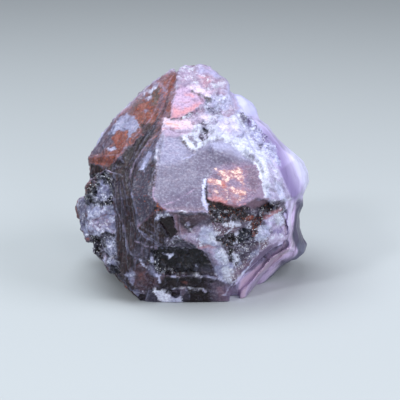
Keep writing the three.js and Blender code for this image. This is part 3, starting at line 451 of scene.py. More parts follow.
    (PLUM_BROWN, SMOOTH, 0.5, 0.7, [(-3.2, 22.8), (0.6, 23.4), (4.2, 23.4), (4.4, 22), (1.6, 21.6),
        (-0.8, 20.2)]),
    (SLATE, SMOOTH, 0.3, 0.9, [(-4.4, 16.3), (-2.6, 16.6), (-0.6, 15.8), (0.6, 14.9), (-4.6, 14.7)]),
    (WARM_BLACK, dict(BARE_GLASS, chips=0.15), 0.1, 1, [(-9.5, 22.3), (-5.3, 22.8), (-4.6, 20), (-4.2, 18.4),
        (-6, 17), (-7.6, 17.6), (-8.8, 20.4)]),
    (ASH_LILAC, THIN_CRUST, 0.15, 0.9, [(-9.9, 21.6), (-9.4, 23.2), (-6.6, 23.5), (-6.6, 23), (-8.8, 22.6),
        (-9.2, 21.4)]),
    (LILAC_WHITE, GRAINY, 0.1, 0.9, [(-9.8, 22.4), (-9.2, 23), (-8.6, 22.8), (-9.2, 22)]),
    # The pale ridge beside the window, in two steps.
    (LILAC_WHITE, CRUST, 0.5, 1, [(1.6, 18.8), (2.8, 20.2), (4.8, 19.6), (6.2, 17.6), (7.4, 16.4),
        (7.5, 15.2), (5.6, 15), (3.4, 15.6), (1.8, 16.8)]),
    (MILK_WHITE, CRUST, 0.2, 1, [(3.6, 19), (4.8, 18.8), (5.8, 17.4), (7.2, 16.5), (7.6, 15.3), (6.2, 15.4),
        (5, 16.2), (3.8, 17.4)]),
    (PALE_MAUVE, SMOOTH, 0.4, 0.9, [(0.8, 15), (6.8, 15), (8.4, 13.8), (9.2, 11.4), (8.4, 9.4), (6, 9.6),
        (5, 11), (3.6, 13)]),
    (LILAC_WHITE, CRUST, 0.5, 1, [(5.4, 14.8), (8, 14.5), (9, 12.8), (9, 11.4), (9.8, 10), (9, 9), (7, 10.2),
        (5.8, 12.2)]),
    (MILK_WHITE, CRUST, 0.2, 1, [(6.8, 14.5), (8.3, 14.1), (8.9, 12.8), (8.7, 11.6), (9.5, 10.6), (8.4, 10.2),
        (7.4, 12)]),
    (ROSE_STAIN, SMOOTH, 0.25, 0.35, [(0.8, 15.2), (3.6, 15.4), (6, 15.2), (5.8, 14.8), (3, 14.8),
        (1, 14.8)]),
    (MAUVE_GREY, SMOOTH, 0.7, 0.8, [(2.6, 14.3), (4.2, 13.8), (6.2, 10.6), (6.6, 8.4), (5, 9.4), (3.6, 12)]),
    (LILAC_GREY, THIN_CRUST, 0.8, 0.95, [(5.6, 9.8), (9.4, 10.6), (13.6, 11.4), (12, 8), (10, 5.8),
        (8.2, 5.2), (6, 7.2)]),
    (MILK_WHITE, CRUST, 0.4, 0.95, [(7.4, 9.4), (9, 9.8), (10.8, 8.8), (11, 7), (9.6, 5.6), (8, 6.6)]),
    # The window.
    (BLUE_BLACK, dict(BARE_GLASS, chips=0.4, rust=0.25, druse=0.06), 0.1, 1, [(-10.8, 14.2), (-7.7, 14.9),
        (-3.2, 14.7), (1.5, 14.6), (2.6, 13.9), (3.8, 11.9), (4.8, 10.2), (5.6, 8.4), (3.4, 7.6), (-3.2, 7.9),
        (-9.5, 8), (-11.2, 10.6)]),
    (SLATE, SMOOTH, 0.8, 0.8, [(1, 9.4), (3.8, 10), (5.4, 9.2), (6, 7), (2.6, 7.2)]),
    (BROWN_GLASS, dict(PITTED, rust=0.6), 0.6, 0.8, [(-9.8, 9.8), (-5, 9.2), (-3.6, 7.6), (-9, 7.8)]),
    (BLUE_BLACK, PITTED, 0.5, 0.8, [(-11, 13), (-9.2, 13.2), (-9, 9.6), (-5, 8.8), (-9.6, 8), (-11.2, 10)]),
    (LILAC_WHITE, dict(CRUST, lumps=0.05), 0.08, 1, [(-7.9, 13.3), (-6.2, 12.9), (-5.5, 13.5), (-5.4, 12.2),
        (-6.3, 11.8), (-6.8, 12.6)]),
    (LILAC_WHITE, GRAINY, 0.08, 0.9, [(-10.9, 12.4), (-10.3, 12.4), (-10, 11.2), (-10.2, 10.2),
        (-10.8, 10.8)]),
    (LILAC_WHITE, PLAIN, 0.08, 0.9, [(0.4, 10.7), (1.2, 10.6), (1.2, 9.9), (0.6, 9.8)]),
    # The rim over the groove, and the dark pitted druse above it.
    (MAUVE_GREY, dict(GRAINY, rust=0.3), 0.5, 1, [(10, 9.6), (12.4, 10), (15.4, 13), (18, 15.4), (19, 18),
        (17, 19), (14.2, 15.8), (11.6, 13)]),
    (DUSK_ROSE, GRAINY, 0.5, 0.8, [(9.8, 5.4), (12, 7), (14.4, 9.6), (16.6, 12.2), (19.4, 14.8), (22.4, 16),
        (24.4, 17), (24.2, 22), (20.4, 21), (17.6, 16.6), (14.6, 12.8), (12, 10), (9.6, 9)]),
    (LILAC_GREY, GRAINY, 0.3, 0.7, [(14.4, 12.6), (16.6, 15), (18, 15.4), (16.4, 13), (14.6, 11)]),
    (PLUM_SHADOW, SMOOTH, 0.3, 0.85, [(12.2, 8.6), (14.4, 10.2), (16.6, 12.8), (19.4, 15.2), (22.6, 16),
        (21, 14.4), (16.6, 10.2), (14, 7.8)]),
    (UMBER, dict(PITTED, frost=0.3, rust=0.6, druse=0.8), 0.1, 1, [(3.7, 27.3), (5, 27), (8.5, 25.7),
        (11.5, 25.1), (13.6, 25.2), (15.4, 25.4), (14.2, 24), (13.6, 22), (12.5, 21.6), (10, 22), (8, 21.2),
        (6.5, 20.9), (4.8, 21), (4.1, 23), (4.3, 25)]),
    (BROWN_GLASS, dict(BARE_GLASS, chips=0.3, rust=0.5), 0.1, 1, [(3.7, 27.5), (5, 27), (7.2, 26.5),
        (11.3, 25.2), (13.2, 25.5), (12.6, 24.6), (10, 24.2), (7, 24.6), (4.2, 25)]),
    (DUSK_ROSE, dict(BARE_GLASS, gloss=0.3, chips=0.15), 0.12, 0.9, [(13.2, 25.6), (14.6, 27.1), (16, 27.7),
        (17.5, 27), (19.8, 27.7), (19.8, 26.6), (17.4, 25.2), (15.4, 24.8)]),
    (BROWN_GLASS, dict(PITTED, rust=0.5), 0.25, 0.9, [(16.8, 24.8), (19.8, 26.8), (21.6, 26.4), (21.8, 25),
        (18.6, 23.4)]),
    (MAUVE_GREY, PITTED, 0.4, 0.8, [(13, 24.6), (15, 24.9), (17.6, 25), (18, 23.2), (15.6, 22.9),
        (14, 23.2)]),
    (RUST_BRIGHT, dict(PITTED, rust=1.0), 0.25, 0.9, [(13.2, 22.6), (14.2, 23.3), (15.6, 23.2), (15.4, 22),
        (13.6, 21.8)]),
    (PLUM_BROWN, dict(PITTED, rust=1.0), 0.4, 1, [(15.2, 22.8), (18.6, 23.6), (19.4, 21.6), (17.4, 20),
        (16.4, 17.6), (15.2, 17.4), (15.2, 20)]),
    (ROSE_STAIN, THIN_CRUST, 0.3, 0.5, [(18, 22.2), (22.4, 25.4), (23, 24.8), (19.4, 21.8)]),
    (LAVENDER, THIN_CRUST, 0.4, 0.9, [(18, 21.8), (21, 22.8), (21.6, 21), (20, 19.6), (18.4, 20.2)]),
    (MILK_WHITE, CRUST, 0.15, 1, [(21, 23.6), (22.8, 24.4), (23.2, 20.8), (22, 20.1), (21.2, 21.4)]),
    (LILAC_WHITE, CRUST, 0.4, 1, [(15.8, 18.6), (17.8, 20.4), (20.4, 20.6), (20, 18.4), (18.2, 16.6),
        (16.4, 16.4)]),
    (PALE_MAUVE, THIN_CRUST, 0.4, 1, [(20.2, 20.2), (23.6, 20.6), (24.2, 17), (20.8, 15.8), (19.2, 16.4),
        (20.2, 18)]),
    (DEEP_LAVENDER, THIN_CRUST, 0.4, 0.8, [(20.6, 19.6), (22.8, 19.8), (23.2, 18.4), (21.2, 18.2)]),
    (DUSK_ROSE, GRAINY, 0.4, 0.9, [(4.8, 21), (8, 21.4), (12.2, 21.2), (12.4, 20), (9.8, 18.9), (7.6, 17.6),
        (5.6, 18.2)]),
    (MILK_WHITE, GRAINY, 0.1, 0.9, [(7.3, 21.4), (8.6, 21.3), (8.8, 20.6), (7.6, 20.4)]),
    (MILK_WHITE, CRUST, 0.1, 1, [(10.2, 21.5), (12.3, 21.1), (12, 20), (10.8, 20.4), (8.6, 18.2), (8.2, 18.5),
        (9.8, 20.4)]),
    (BROWN_GLASS, dict(PITTED, frost=0.2, rust=0.4), 0.1, 1, [(5.6, 17.5), (7.6, 17.3), (9.4, 18.3),
        (10.8, 19), (11.1, 18), (10.9, 15.8), (9.6, 15.2), (8, 14.9), (7.4, 15.7)]),
    (TEAL_GREY, dict(PITTED, frost=0.18), 0.12, 1, [(11.5, 18.2), (12, 19.6), (13, 19.9), (14.6, 19.2),
        (15.2, 17.5), (14, 16.2), (11.6, 16.2)]),
    (MILK_WHITE, CRUST, 0.08, 1, [(10.9, 19.2), (11.4, 19.2), (11.5, 16.2), (11, 16)]),
    (MAUVE_GREY, GRAINY, 0.4, 0.9, [(11, 16), (15.2, 16.2), (15.2, 14.4), (14, 12.6), (12, 11.4),
        (11, 12.4)]),
    (WARM_BLACK, dict(PITTED, druse=0.2), 0.1, 1, [(8.9, 14.7), (10.5, 14.8), (10.5, 11.4), (9.7, 10.9),
        (9, 12), (9.1, 13.4)]),
    (MILK_WHITE, CRUST, 0.1, 1, [(10.3, 13.5), (11.3, 13.3), (11.3, 11), (10.5, 10.6)]),
    (LILAC_WHITE, CRUST, 0.2, 0.8, [(11.6, 12.8), (12.4, 12.6), (12.4, 10.8), (11.5, 10.8)]),
    # The foot of the tip.
    (BROWN_GLASS, dict(BARE_GLASS, chips=0.4, lumps=0.1), 0.2, 1, [(-11.6, 8), (-7, 7.5), (-2, 7.5), (4, 7.2),
        (7.6, 6), (9.4, 4.4), (9.4, -8), (-16, -8), (-14.6, 1.7), (-12, 3)]),
    (SLATE, SMOOTH, 0.7, 0.6, [(-3.8, 3.2), (-1.4, 3.8), (-0.8, 1), (-3.6, 0.4)]),
    (MAUVE_GREY, SMOOTH, 0.4, 1, [(-5.6, 3.9), (-2, 4.3), (-1.2, 3.4), (-2.6, 2.3), (-5, 2.8)]),
    (WARM_BLACK, SMOOTH, 0.2, 0.9, [(-6.2, 3.1), (-3, 2.7), (-3, 1.9), (-5, 1.6)]),
    (MAUVE_GREY, SMOOTH, 1.2, 0.9, [(3.6, 6.6), (7.4, 6), (9.8, 4.8), (10.4, 1), (10, -6), (6.4, -6),
        (4.8, 2)]),
    (DUSK_ROSE, SMOOTH, 0.8, 0.7, [(6.2, 4.6), (8.6, 4.8), (9.8, 4.4), (9.8, -6), (7.6, -6)]),
    (PLUM_SHADOW, SMOOTH, 0.8, 0.8, [(8, 4.4), (10.4, 5.4), (12.4, 3), (11, -4), (8, -4)]),
    (PLUM_BROWN, dict(SMOOTH, gloss=0.5, rust=0.3, chips=0.3), 0.4, 1, [(-14.6, 10.8), (-11.6, 10.8),
        (-10.4, 8.6), (-7, 7.4), (-9.6, 4.4), (-13.6, 3.4), (-16.6, 6)]),
    (RUST_BROWN, dict(STAINED, gloss=0.4), 0.6, 0.5, [(-14.4, 8.6), (-12.4, 8.4), (-12.2, 6.6), (-14, 6.6)]),
    (ASH_LILAC, SMOOTH, 0.4, 1, [(-12.4, 10), (-10.8, 10), (-9.2, 8.4), (-9, 6.4), (-11, 7.2)]),
    (LILAC_GREY, SMOOTH, 0.25, 0.9, [(-11.4, 9.4), (-10.4, 9.2), (-9.4, 7.6), (-10.2, 7.4)]),
    (LILAC_WHITE, SMOOTH, 0.12, 0.9, [(-9.6, 8.4), (-8.6, 7.4), (-8.2, 5.6), (-8.9, 5.2), (-9.2, 6.8),
        (-10.2, 8)]),
    (LILAC_WHITE, GRAINY, 0.08, 0.9, [(-14, 11.4), (-13.4, 11.4), (-12.2, 10), (-11, 9.2), (-11.4, 8.9),
        (-13.2, 10.2)]),
    (LILAC_GREY, THIN_CRUST, 0.3, 0.7, [(-17.2, 7.8), (-15.8, 9), (-14.8, 7.8), (-15.8, 5)]),
    (MILK_WHITE, SMOOTH, 0.12, 1, [(-11, 4.2), (-9.8, 4), (-8, 3.5), (-6.6, 2.8), (-5.3, 1.9), (-4.4, 1.4),
        (-3.1, 2.1), (-2.8, 1), (-3.4, 0.5), (-3.8, -3), (-7, -4), (-8.4, 0.8), (-9.6, 2.4)]),
    (LILAC_GREY, SMOOTH, 0.5, 0.6, [(-5.6, 2), (-3, 2.2), (-3, -3), (-5.6, -3)]),
    (SLATE, SMOOTH, 0.3, 0.9, [(-12.6, 4.6), (-10.4, 3.2), (-9, 1.6), (-7.6, 0.4), (-9, -3), (-13, -3)]),
]  # fmt: skip

# Thin lines along growth steps, edges and cracks; the white ones on edges and ledges are painted highlights
# and the black ones painted shade under them. Each has the colour, the half width, the strength and the line.
LINES = [
    (LILAC_GREY, 0.16, 0.4, [(-22.8, 32.1), (-22, 30.2), (-20.7, 27.6), (-19.6, 23.9), (-17.9, 20.5),
        (-17.5, 17.5), (-16.9, 14.1), (-15.1, 12.2), (-12.8, 11.1)]),
    (LILAC_GREY, 0.12, 0.7, [(-16.9, 31.2), (-15.8, 28.4), (-14.9, 25), (-14.5, 22), (-14.3, 19.7),
        (-12.8, 17.8), (-10.2, 16), (-7.9, 14.5)]),
    (PALE_MAUVE, 0.1, 0.7, [(-14.9, 16.4), (-12.4, 15.3), (-9.4, 14.7)]),
    (DUSK_ROSE, 0.2, 0.9, [(-14.3, 20.3), (-10.9, 23.1), (-8.7, 25)]),
    (PALE_MAUVE, 0.15, 0.8, [(-14.4, 21.8), (-13.6, 20.4), (-14.4, 19.8)]),
    (LILAC_GREY, 0.08, 0.7, [(-13.4, 18.8), (-10.4, 16.8), (-7.4, 15)]),
    (ASH_LILAC, 0.08, 0.7, [(-13, 20), (-10, 18.4), (-7.4, 16.4)]),
    (ASH_LILAC, 0.08, 0.6, [(-11.8, 21.2), (-9.4, 20)]),
    (ASH_LILAC, 0.1, 0.6, [(-19.4, 32), (-18.6, 27.4), (-17.2, 23)]),
    (ASH_LILAC, 0.1, 0.5, [(-18.2, 31), (-17.4, 27), (-16.4, 22.4)]),
    # Painted highlight along the left edge of the great face.
    (LILAC_WHITE, 0.1, 0.8, [(-9, 42), (-9.3, 39.6)]),
    (MILK_WHITE, 0.2, 1, [(-9.1, 40.4), (-9.5, 38.8), (-9.7, 37.4)]),
    (PALE_MAUVE, 0.12, 0.5, [(-4.8, 60.4), (-11.2, 47.8), (-16.5, 42.2), (-21, 36.4)]),
    (PALE_MAUVE, 0.12, 0.5, [(-8.4, 45.4), (-11.7, 41.8), (-15.3, 36.4), (-16.6, 33)]),
    (WARM_BLACK, 0.25, 0.6, [(-6, 54), (-9.6, 46.8), (-13.6, 42.2), (-18, 38)]),
    (PLUM_BROWN, 0.12, 0.9, [(-9.4, 36.4), (-9.5, 34), (-10.2, 30.4)]),
    (ROSE, 0.1, 0.7, [(-10.2, 30.4), (-10.3, 28), (-9.4, 26.6), (-7.6, 24.8), (-5, 24.3)]),
    (ROSE_STAIN, 0.2, 0.8, [(4.2, 27.5), (6, 26.9), (8.6, 26), (11.6, 25.5), (13.6, 26.2)]),
    # Painted highlight along the lower edge of the face, and black painted shade beneath it.
    (MILK_WHITE, 0.1, 0.9, [(-3.8, 24.2), (-1.6, 24.1)]),
    (PALE_MAUVE, 0.1, 0.8, [(-1.6, 24.1), (3.6, 24)]),
    (PAINTED_SHADE_BLACK, 0.2, 0.7, [(-5.8, 23.6), (0, 23.4), (3.6, 23.5)]),
    (OLIVE_UMBER, 0.2, 1, [(-0.4, 55.4), (1.4, 54.5), (3.2, 53.7), (4.8, 53.3)]),
    (PEACH_STAIN, 0.16, 0.9, [(-7.4, 46.9), (-5.6, 46.8), (-3.6, 46.3)]),
    (ROSE_STAIN, 0.1, 0.8, [(-7.8, 45.8), (-5, 45.7), (-2, 45.9)]),
    (PLUM_BROWN, 0.14, 0.7, [(-5.8, 48), (-3.4, 48.2), (-1.6, 49), (0.2, 50)]),
    (ROSE, 0.06, 0.6, [(-8, 25.8), (-5, 26.6), (-2.4, 28.2), (0.4, 30)]),
    (CLOUDED_LILAC, 0.12, 0.8, [(-2.4, 37.8), (0.5, 39)]),
    (RUST_BROWN, 0.1, 0.4, [(-4.8, 52.6), (-2, 52.4), (1, 53)]),
    (RUST_BROWN, 0.18, 0.6, [(-26.6, 21.4), (-24.6, 22.4), (-22.4, 23.4)]),
    (RUST_BROWN, 0.15, 0.6, [(-25.6, 20), (-24, 20.8), (-22, 20.6)]),
    # Black painted shade along the top of the window, under the overhang.
    (PAINTED_SHADE_BLACK, 0.2, 1, [(-4.8, 16), (-3.2, 16.7), (-1, 16), (0.4, 15.1)]),
    (PAINTED_SHADE_BLACK, 0.15, 0.8, [(-10.8, 14.4), (-7.7, 15), (-3.2, 14.8), (1.2, 14.7)]),
    (MILK_WHITE, 0.1, 0.8, [(-2, 20.6), (-0.6, 19.4), (0.4, 18.6)]),
    (ASH_LILAC, 0.1, 0.7, [(-11, 16.6), (-9, 15.4), (-8, 14.7)]),
    # Painted highlights where the ledges at the foot catch the light.
    (LILAC_WHITE, 0.1, 1, [(-5.6, 7.2), (-4.6, 7.3), (-3.6, 7.1)]),
    (MILK_WHITE, 0.06, 1, [(-3.4, 7.9), (-2.6, 8.1), (-1, 7.6), (1.2, 7.5), (3.2, 7.2)]),
    (LILAC_WHITE, 0.06, 0.9, [(3.2, 7.2), (5, 7), (6.4, 6.6), (7.8, 6)]),
    (MILK_WHITE, 0.06, 1, [(-5.4, 3.9), (-4.2, 4.4), (-3, 4.5), (-2, 4.1)]),
    (MILK_WHITE, 0.06, 1, [(-1.2, 4.3), (0.5, 3.9), (2.4, 4)]),
    (LILAC_WHITE, 0.16, 1, [(2.6, 4), (3.5, 3.3)]),
    # Painted highlight along the rim over the groove.
    (LILAC_WHITE, 0.12, 0.8, [(7.6, 2.4), (8.4, 2.5), (9.4, 4.4), (10.4, 5.6), (12.2, 7.3), (14.6, 9.8),
        (15.6, 11.6)]),
    (PALE_MAUVE, 0.14, 0.8, [(15.6, 11.6), (17.4, 13.6), (19.6, 15.4), (22.6, 16.3)]),
    # Black painted shade under the ledges at the foot.
    (PAINTED_SHADE_BLACK, 0.25, 0.9, [(-7, 6.4), (0, 6.4), (5, 6)]),
    (PAINTED_SHADE_BLACK, 0.25, 0.9, [(-1.4, 3.3), (0, 3.1), (4, 3.1)]),
    (RUST, 0.25, 0.6, [(-3, 5.9), (-1.6, 5.4)]),
]  # fmt: skip

# The growth lines run down each side of the tip and bend where the faces turn under.
LEFT_LINE = [
    (-4, 60), (-8.4, 50), (-13.6, 41.6), (-17.4, 34.6), (-17.6, 28), (-16.8, 20), (-17.2, 10), (-16, 2),
]  # fmt: skip
RIGHT_LINE = [
    (9, 60), (12.5, 53), (18, 46), (23.5, 40), (26.5, 32), (26, 25), (25, 18), (23, 12.5), (17, 7), (10, -2),
]  # fmt: skip
SIDES_PART = 3  # the u where the lines of one side give way to those of the other
COLOUR_STRETCH = (0.12, 0.1)  # how fast colour changes along a line and back from the tip, 1 being across it
LEDGE_STRETCH = (0.16, 0.25)  # the same for growth ledges

FRONT_DEPTH = 30  # how far back the patches reach
LOW_RIGHT_LESS = 8  # how much less at the lower right
FADE_DEPTH = 6  # how much further they take to fade out
BLOCK = 1.2  # the size of the facets that the edges of patches break along
# A thick crust with a sharp edge gets a rim of painted shade round its foot, as a contact shadow.
THICK_CRUST = 0.15  # a crust with lumps above this
SHARP_EDGE = 0.35  # and an edge less soft than this
CONTACT_SHADE_AMOUNT = 0.15  # has a dark rim this strong

# What lies to the right of this outline is the purple flank.
CORE_OUTLINE = [
    (-4.2, 62), (10, 60), (12, 48), (20.8, 40), (25.8, 28.5), (24, 15), (13, 6), (9.4, -8), (-16, -8),
    (-20.5, 8), (-20.3, 22), (-21.5, 31), (-20, 35.5), (-14.2, 44), (-6.5, 56),
]  # fmt: skip


class Coat:
    """What the stone's surface is at each of its points, laid on patch by patch."""

    def __init__(self, points, normals):
        self.points = points
        self.normals = normals
        self.u, self.v, self.w = drawn(points)
        sight = np.array(EYE) / MM - points
        sight /= np.linalg.norm(sight, axis=1)[:, None]
        depth = FRONT_DEPTH - LOW_RIGHT_LESS * ease(self.u, 6, 10) * ease(self.v, 30, 24)
        self.front = ease((sight * normals).sum(axis=1), -0.05, 0.2) * ease(self.w - depth, FADE_DEPTH, 0)
        # Edges of patches wander and break along the facets, as a crust's do.
        blocks_u, blocks_v, _ = drawn(middles(points, BLOCK))
        wander = [grain(points, 2.0, s) * 0.3 + grain(points, 0.7, s + 7) * 0.15 for s in (3.1, 11.7)]
        self.edge_u = self.u + wander[0] + (blocks_u - self.u) * 0.45
        self.edge_v = self.v + wander[1] + (blocks_v - self.v) * 0.45
        left = along_line(self.u, self.v, LEFT_LINE)
        right = along_line(self.u, self.v, RIGHT_LINE)
        self.beside, self.along = np.where(self.u < SIDES_PART, left, right)
        self.tint = np.tile(ASH_LILAC, (len(points), 1))
        self.fields = {name: np.zeros(len(points)) for name in FIELDS}

    def stretched(self, along, deep):
        """Places in which whatever is drawn runs out into lines down the sides of the tip."""
        return np.column_stack([self.beside, self.along * along, self.w * deep])

    def lay(self, cover, colour, **fields):
        """Lays a colour and any fields over what is there, as thickly as `cover` says from 0 to 1."""
        self.tint += (colour - self.tint) * cover[:, None]
        for name, value in fields.items():
            self.fields[name] += (value - self.fields[name]) * cover

    def patch(self, colour, finish, soft, amount, outline):
        inside = depth_inside(self.edge_u, self.edge_v, outline)
        # Painted shade: a dark rim round the foot of a thick, sharp-edged crust, as its contact shadow.
        if finish.get("lumps", 0) > THICK_CRUST and soft < SHARP_EDGE:
            self.lay(ease(np.abs(inside + 0.15), 0.4, 0.1) * CONTACT_SHADE_AMOUNT * amount * self.front, UMBER)
        self.lay(ease(inside, -soft, soft) * amount * self.front, colour, **finish)

    def line(self, colour, half_width, amount, line):
        line_u = self.u + (self.edge_u - self.u) * 0.4
        line_v = self.v + (self.edge_v - self.v) * 0.4
        beside, _ = along_line(line_u, line_v, line)
        broken = 0.35 + 0.65 * ease(grain(self.points, 1.3, 5), -0.4, 0.2)
        reach = ease(np.abs(beside), half_width + 0.2, half_width - 0.1)
        self.lay(reach * amount * broken * self.front, colour)


def coat_of(points, normals):
    """The whole coat: the sides back to the root, the purple flank, and the drawn patches and lines."""
    coat = Coat(points, normals)
    x, y, z = normals.T
    lumpy = grain(points, 7, 2)
    mottle = grain(points, 3, 9)

    # The old sides, as they run back to the root.
    rightward, leftward = ease(x, 0.05, 0.5), ease(-x, 0.1, 0.6)
    upward, downward = ease(z, 0.35, 0.8), ease(-z, 0.4, 0.8)
    low_ledge = ease(coat.w, 47.5, 49.5) * ease(coat.v, 30, 28) * ease(coat.u, 8, 12)
    rootward = np.maximum(ease(y, 0.45, 0.75) * ease(coat.w, 26, 32), low_ledge)
    coat.lay(leftward, PLUM_BROWN, **dict(STAINED, rust=0.45, streak=0.8, chips=0.4))
    coat.lay(leftward * ease(lumpy + 0.5 * mottle, 0.0, 0.3), RUST_BROWN, rust=0.8)
    coat.lay(leftward * ease(-lumpy + 0.4 * mottle, 0.1, 0.35), LILAC_WHITE, **THIN_CRUST)
    coat.lay(upward, PALE_MAUVE, **dict(THIN_CRUST, rust=0.2))
    coat.lay(upward * ease(mottle + lumpy, 0.15, 0.5), DUSK_ROSE, rust=0.5)
    coat.lay(rightward * ease(coat.u, 4, 12), LAVENDER, **SILKY)
    # Painted shade: the sides that face down are darker.
    coat.lay(downward * (1 - rightward), DUSK, gloss=0.3, frost=0.2)
    coat.lay(rootward, ROOT_GREY, **dict(BARE_GLASS, gloss=0.4, frost=0.1, chips=0.5, silk=0.0))
    coat.lay(rootward * ease(lumpy + 0.5 * mottle, -0.2, 0.4), DEEP_LAVENDER, gloss=0.6)
    pale = ease(grain(points, 11, 6) + 0.3 * mottle, 0.1, 0.5)
    coat.lay(rootward * pale * 0.8, PALE_LAVENDER, **THIN_CRUST)
    coat.lay(rootward * ease(np.abs(lumpy + 0.2 * mottle), 0.06, 0.0) * 0.5, RUST_BROWN, rust=0.7)

    # The purple flank, smooth and pale at its outside, darker where it dives under the white edge.
    outer = depth_inside(coat.u, coat.v, CORE_OUTLINE)
    flank = ease(coat.u, 9, 12) * ease(outer, 1.0, 0.2) * (1 - rootward)
    coat.lay(flank, LAVENDER, **SILKY)
    coat.lay(flank * ease(outer, -4.4, -0.6) * 0.9, DEEP_LAVENDER)
    layers = grain(coat.stretched(*COLOUR_STRETCH), 1.5, 4)
    coat.lay(flank * ease(layers, 0.0, 0.5) * 0.3, DEEP_LAVENDER)
    # Painted light: the thin outer edge of the flank made paler, as if lit from behind through the crystal.
    coat.lay(flank * ease(outer, -2.8, -4.6) * ease(coat.v, 26, 31), PALE_LAVENDER)
    lobe = ease(coat.v, 48.4, 49.6) * ease(coat.u, 9, 11) * ease(coat.w, 24, 28)
    coat.lay(lobe * (1 - rootward), LOBE_WHITE)
    # The groove beside the lower edge, the pink fold behind it and the smoky one behind that.
    low = ease(coat.v + (2 * lumpy + mottle) * ease(coat.w, 31, 36), 28, 25.5) * flank
    rise = ease(coat.v, 13, 18)
    coat.lay(low, PINK_LAVENDER, streak=0.8)
    coat.lay(low * ease(outer + 3.3 - 2.2 * rise, 0, -0.5), SMOKE, streak=0.3)
    coat.lay(low * ease(coat.w, 31, 34), SMOKE)
    coat.lay(low * rise * ease(outer + 1.2, 0, -0.5) * 0.6, SLATE)
    coat.lay(low * ease(outer + 1.7 - 2.2 * rise, 0, 0.5), GROOVE_MAUVE, gloss=0.5)
    coat.lay(low * rise * ease(np.abs(outer + 0.1), 0.9, 0.3) * 0.5, PALE_LAVENDER)
    coat.lay(low * ease(coat.v, 15, 10) * ease(np.abs(outer + 2.5), 1.1, 0.5) * 0.35, PLUM_SHADOW)
    coat.lay(low * ease(layers, 0.0, 0.4) * 0.3, PLUM_SHADOW)
    coat.lay(low * ease(-layers, 0.1, 0.5) * 0.4, BLUSH_WHITE)

    for patch in PATCHES:
        coat.patch(*patch)
    for line in LINES:
        coat.line(*line)
    return coat


# ---- The stone ----

SAME_POINT = 0.002  # corners of the plain solid this close, in millimetres, are one
VOXEL = 0.675  # how fine the stone's skin is, in millimetres; its front is twice as fine
FRONT_END = 0  # the y where the finer front ends
FOOT = (0.2, 1.2)  # the heights between which the relief fades out towards the ground
# Corners that are worn off, or built up where the depth is below 0: u, v, reach and depth.
WORN_CORNERS = [(5.2, 62.8, 3.2, 0.75), (8.8, 57.6, 3.4, -1.1), (9.2, 0, 1.8, 0.5)]
# The groove beside the right fold has partly grown shut: half its width, the depth w of its new floor, the w
# down to which it is filled, and its line.
FILLED = (1.1, 19.8, 24.5, [
    (24.6, 25.6), (24.2, 25), (23.8, 24), (23.5, 23), (23.4, 22), (23.2, 21), (23.3, 20), (23.5, 19),
    (23.9, 18.2),
])  # fmt: skip
SOFTENED = [  # where the plain shape is worked smoother: the reach, how many times over, and a line
    (3.4, 30, [(4.5, 40.6), (4.7, 40.6)]),
    (1.4, 10, [(3.2, 32.4), (2.9, 31), (2.8, 29), (3.3, 27), (3.6, 25.4), (3.8, 24.2)]),
    (1.8, 20, [(25, 26.4), (24.2, 24.6), (23.8, 22), (23.7, 20), (24.3, 18), (24.9, 16.6)]),
]
SOFTENED_DEPTH = 24  # how far back they are
ALL_AXES = dict(use_axis_x=True, use_axis_y=True, use_axis_z=True)

# The relief, in millimetres.
LEDGE_GAP = 1.9  # between two growth ledges
LEDGE_HEIGHT = 0.3
GRAIN_HEIGHT = 0.06
STEP_HEIGHT = 0.16  # of the ledges across the sides
RIPPLE_HEIGHT = 0.14
RIPPLE_CENTRE = (-6, 44)  # the u and v that the ripples of the broken root run around


def mesh_of(name, work):
    """A mesh made of what `work` holds."""
    mesh = bpy.data.meshes.new(name)
    work.to_mesh(mesh)
    work.free()
    return mesh


def stand(name, data):
    """An object that stands in the scene at the origin."""
    thing = bpy.data.objects.new(name, data)
    bpy.context.scene.collection.objects.link(thing)
    return thing


def work_in(obj):
    """Works an object's modifiers into its mesh."""
    result = bpy.data.meshes.new_from_object(obj.evaluated_get(bpy.context.evaluated_depsgraph_get()))
    obj.modifiers.clear()
    obj.data = result


def store(mesh, coat, chosen=slice(None)):
    """Keeps the coat on the mesh, where the material reads it."""
    tint = np.column_stack([coat.tint, np.ones(len(coat.tint))])[chosen]
    mesh.attributes.new("tint", "FLOAT_COLOR", "POINT").data.foreach_set("color", tint.ravel())
    for name in SHOWN:
        mesh.attributes.new(name, "FLOAT", "POINT").data.foreach_set("value", coat.fields[name][chosen])
    lines = coat.stretched(*COLOUR_STRETCH)[chosen]
    mesh.attributes.new("lines", "FLOAT_VECTOR", "POINT").data.foreach_set("vector", lines.ravel())


def broken_facets(points, size, slope):
    """Heights of flat facets about `size` across, each tipped its own way as where quartz has broken."""
    heights = []
    for point in (points / size).tolist():
        centre = noise.voronoi(point)[1][0]
        heights.append((Vector(point) - centre).dot(noise.cell_vector(centre * 37.7)))
    return np.array(heights) * size * slope


